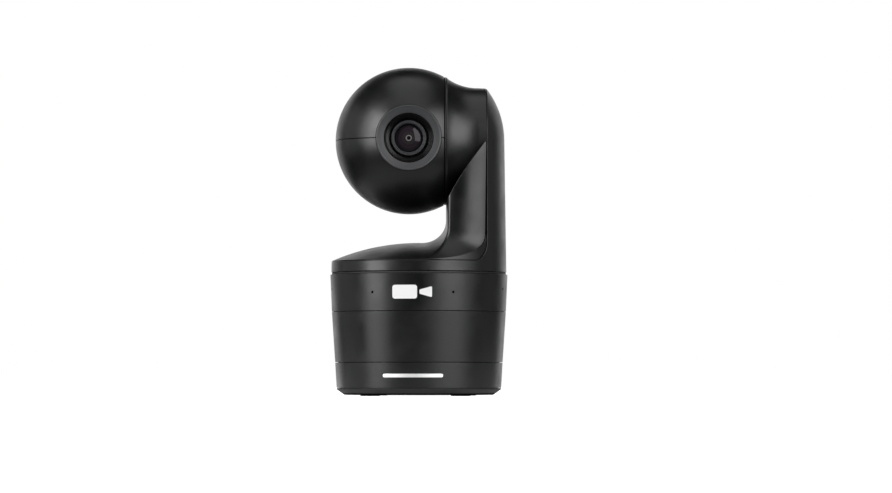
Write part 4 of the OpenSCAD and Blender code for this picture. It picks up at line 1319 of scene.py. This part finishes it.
def backdrop():
    """A plain white floor. It glows evenly, and throws no light back up at the object."""
    floor = bpy.data.meshes.new("floor")
    reach = 40
    corners = [(-reach, -reach, 0), (reach, -reach, 0), (reach, reach, 0), (-reach, reach, 0)]
    floor.from_pydata(corners, [], [(0, 1, 2, 3)])
    obj = bpy.data.objects.new("floor", floor)
    bpy.context.scene.collection.objects.link(obj)
    f = Finish("paper")
    tone = f.ramp(f.noise(400, 2.0), [(0.3, 0.84), (0.7, 0.87)])
    f.join(tone, "Color", f.shader, "Base Color")
    f.set(Roughness=0.9, Emission_Color=(1, 1, 1, 1), Emission_Strength=1.0)
    floor.materials.append(f.material)
    obj.visible_diffuse = False
    obj.visible_glossy = False


backdrop()


LIT = Vector((0, 0, 0.14))      # the point that the lights face


def area_light(name, turn, rise, away, size, size_y, power):
    """A soft box at an angle round from the camera's side, and at a height angle, in degrees."""
    lamp = bpy.data.lights.new(name, "AREA")
    lamp.shape = "RECTANGLE"
    lamp.size = size
    lamp.size_y = size_y
    lamp.energy = power
    obj = bpy.data.objects.new(name, lamp)
    a, e = math.radians(turn) + PAN, math.radians(rise)
    aim = Vector((math.sin(a) * math.cos(e), -math.cos(a) * math.cos(e), math.sin(e)))
    place = aim * away + LIT
    obj.location = place
    obj.rotation_mode = "QUATERNION"
    obj.rotation_quaternion = (LIT - place).to_track_quat("-Z", "Y")
    obj.visible_camera = False
    bpy.context.scene.collection.objects.link(obj)


world = bpy.data.worlds.new("studio")
bpy.context.scene.world = world
world.use_nodes = True
world.node_tree.nodes["Background"].inputs["Color"].default_value = (1, 1, 1, 1)
world.node_tree.nodes["Background"].inputs["Strength"].default_value = 1.0
world.cycles_visibility.diffuse = False
world.cycles_visibility.glossy = False
bpy.context.scene.view_settings.view_transform = "Standard"

# Name, turn and rise in degrees, distance, width and height in metres, and power in watts. The
# floor glow stands for the light that a white floor throws back under the ball.
for light in (
    ("left box", -58, 18, 1.7, 0.85, 1.5, 29),
    ("right box", 43, 18, 1.7, 1.4, 1.5, 28),
    ("top box", 0, 79, 1.6, 1.2, 2.2, 8),
    ("back wall", 180, 8, 1.6, 3.2, 1.4, 14),
    ("left side", -104, 14, 1.7, 1.1, 1.4, 2.6),
    ("right side", 100, 14, 1.7, 1.1, 1.4, 1.4),
    ("floor glow", 0, -90, 0.138, 0.56, 0.56, 0.5),
):
    area_light(*light)

camera = bpy.data.cameras.new("camera")
camera.sensor_width = 36
camera.lens = 173.6
viewer = bpy.data.objects.new("camera", camera)
bpy.context.scene.collection.objects.link(viewer)
# The camera faces the arm and head squarely, from low down, and looks slightly up and to a side.
distance, eye = 3.52, 0.021
look_up, look_aside = math.radians(1.646), math.radians(0.361)
viewer.location = (distance * math.sin(PAN), -distance * math.cos(PAN), eye)
viewer.rotation_mode = "XYZ"
viewer.rotation_euler = (math.pi / 2 + look_up, 0, PAN - look_aside)
bpy.context.scene.camera = viewer
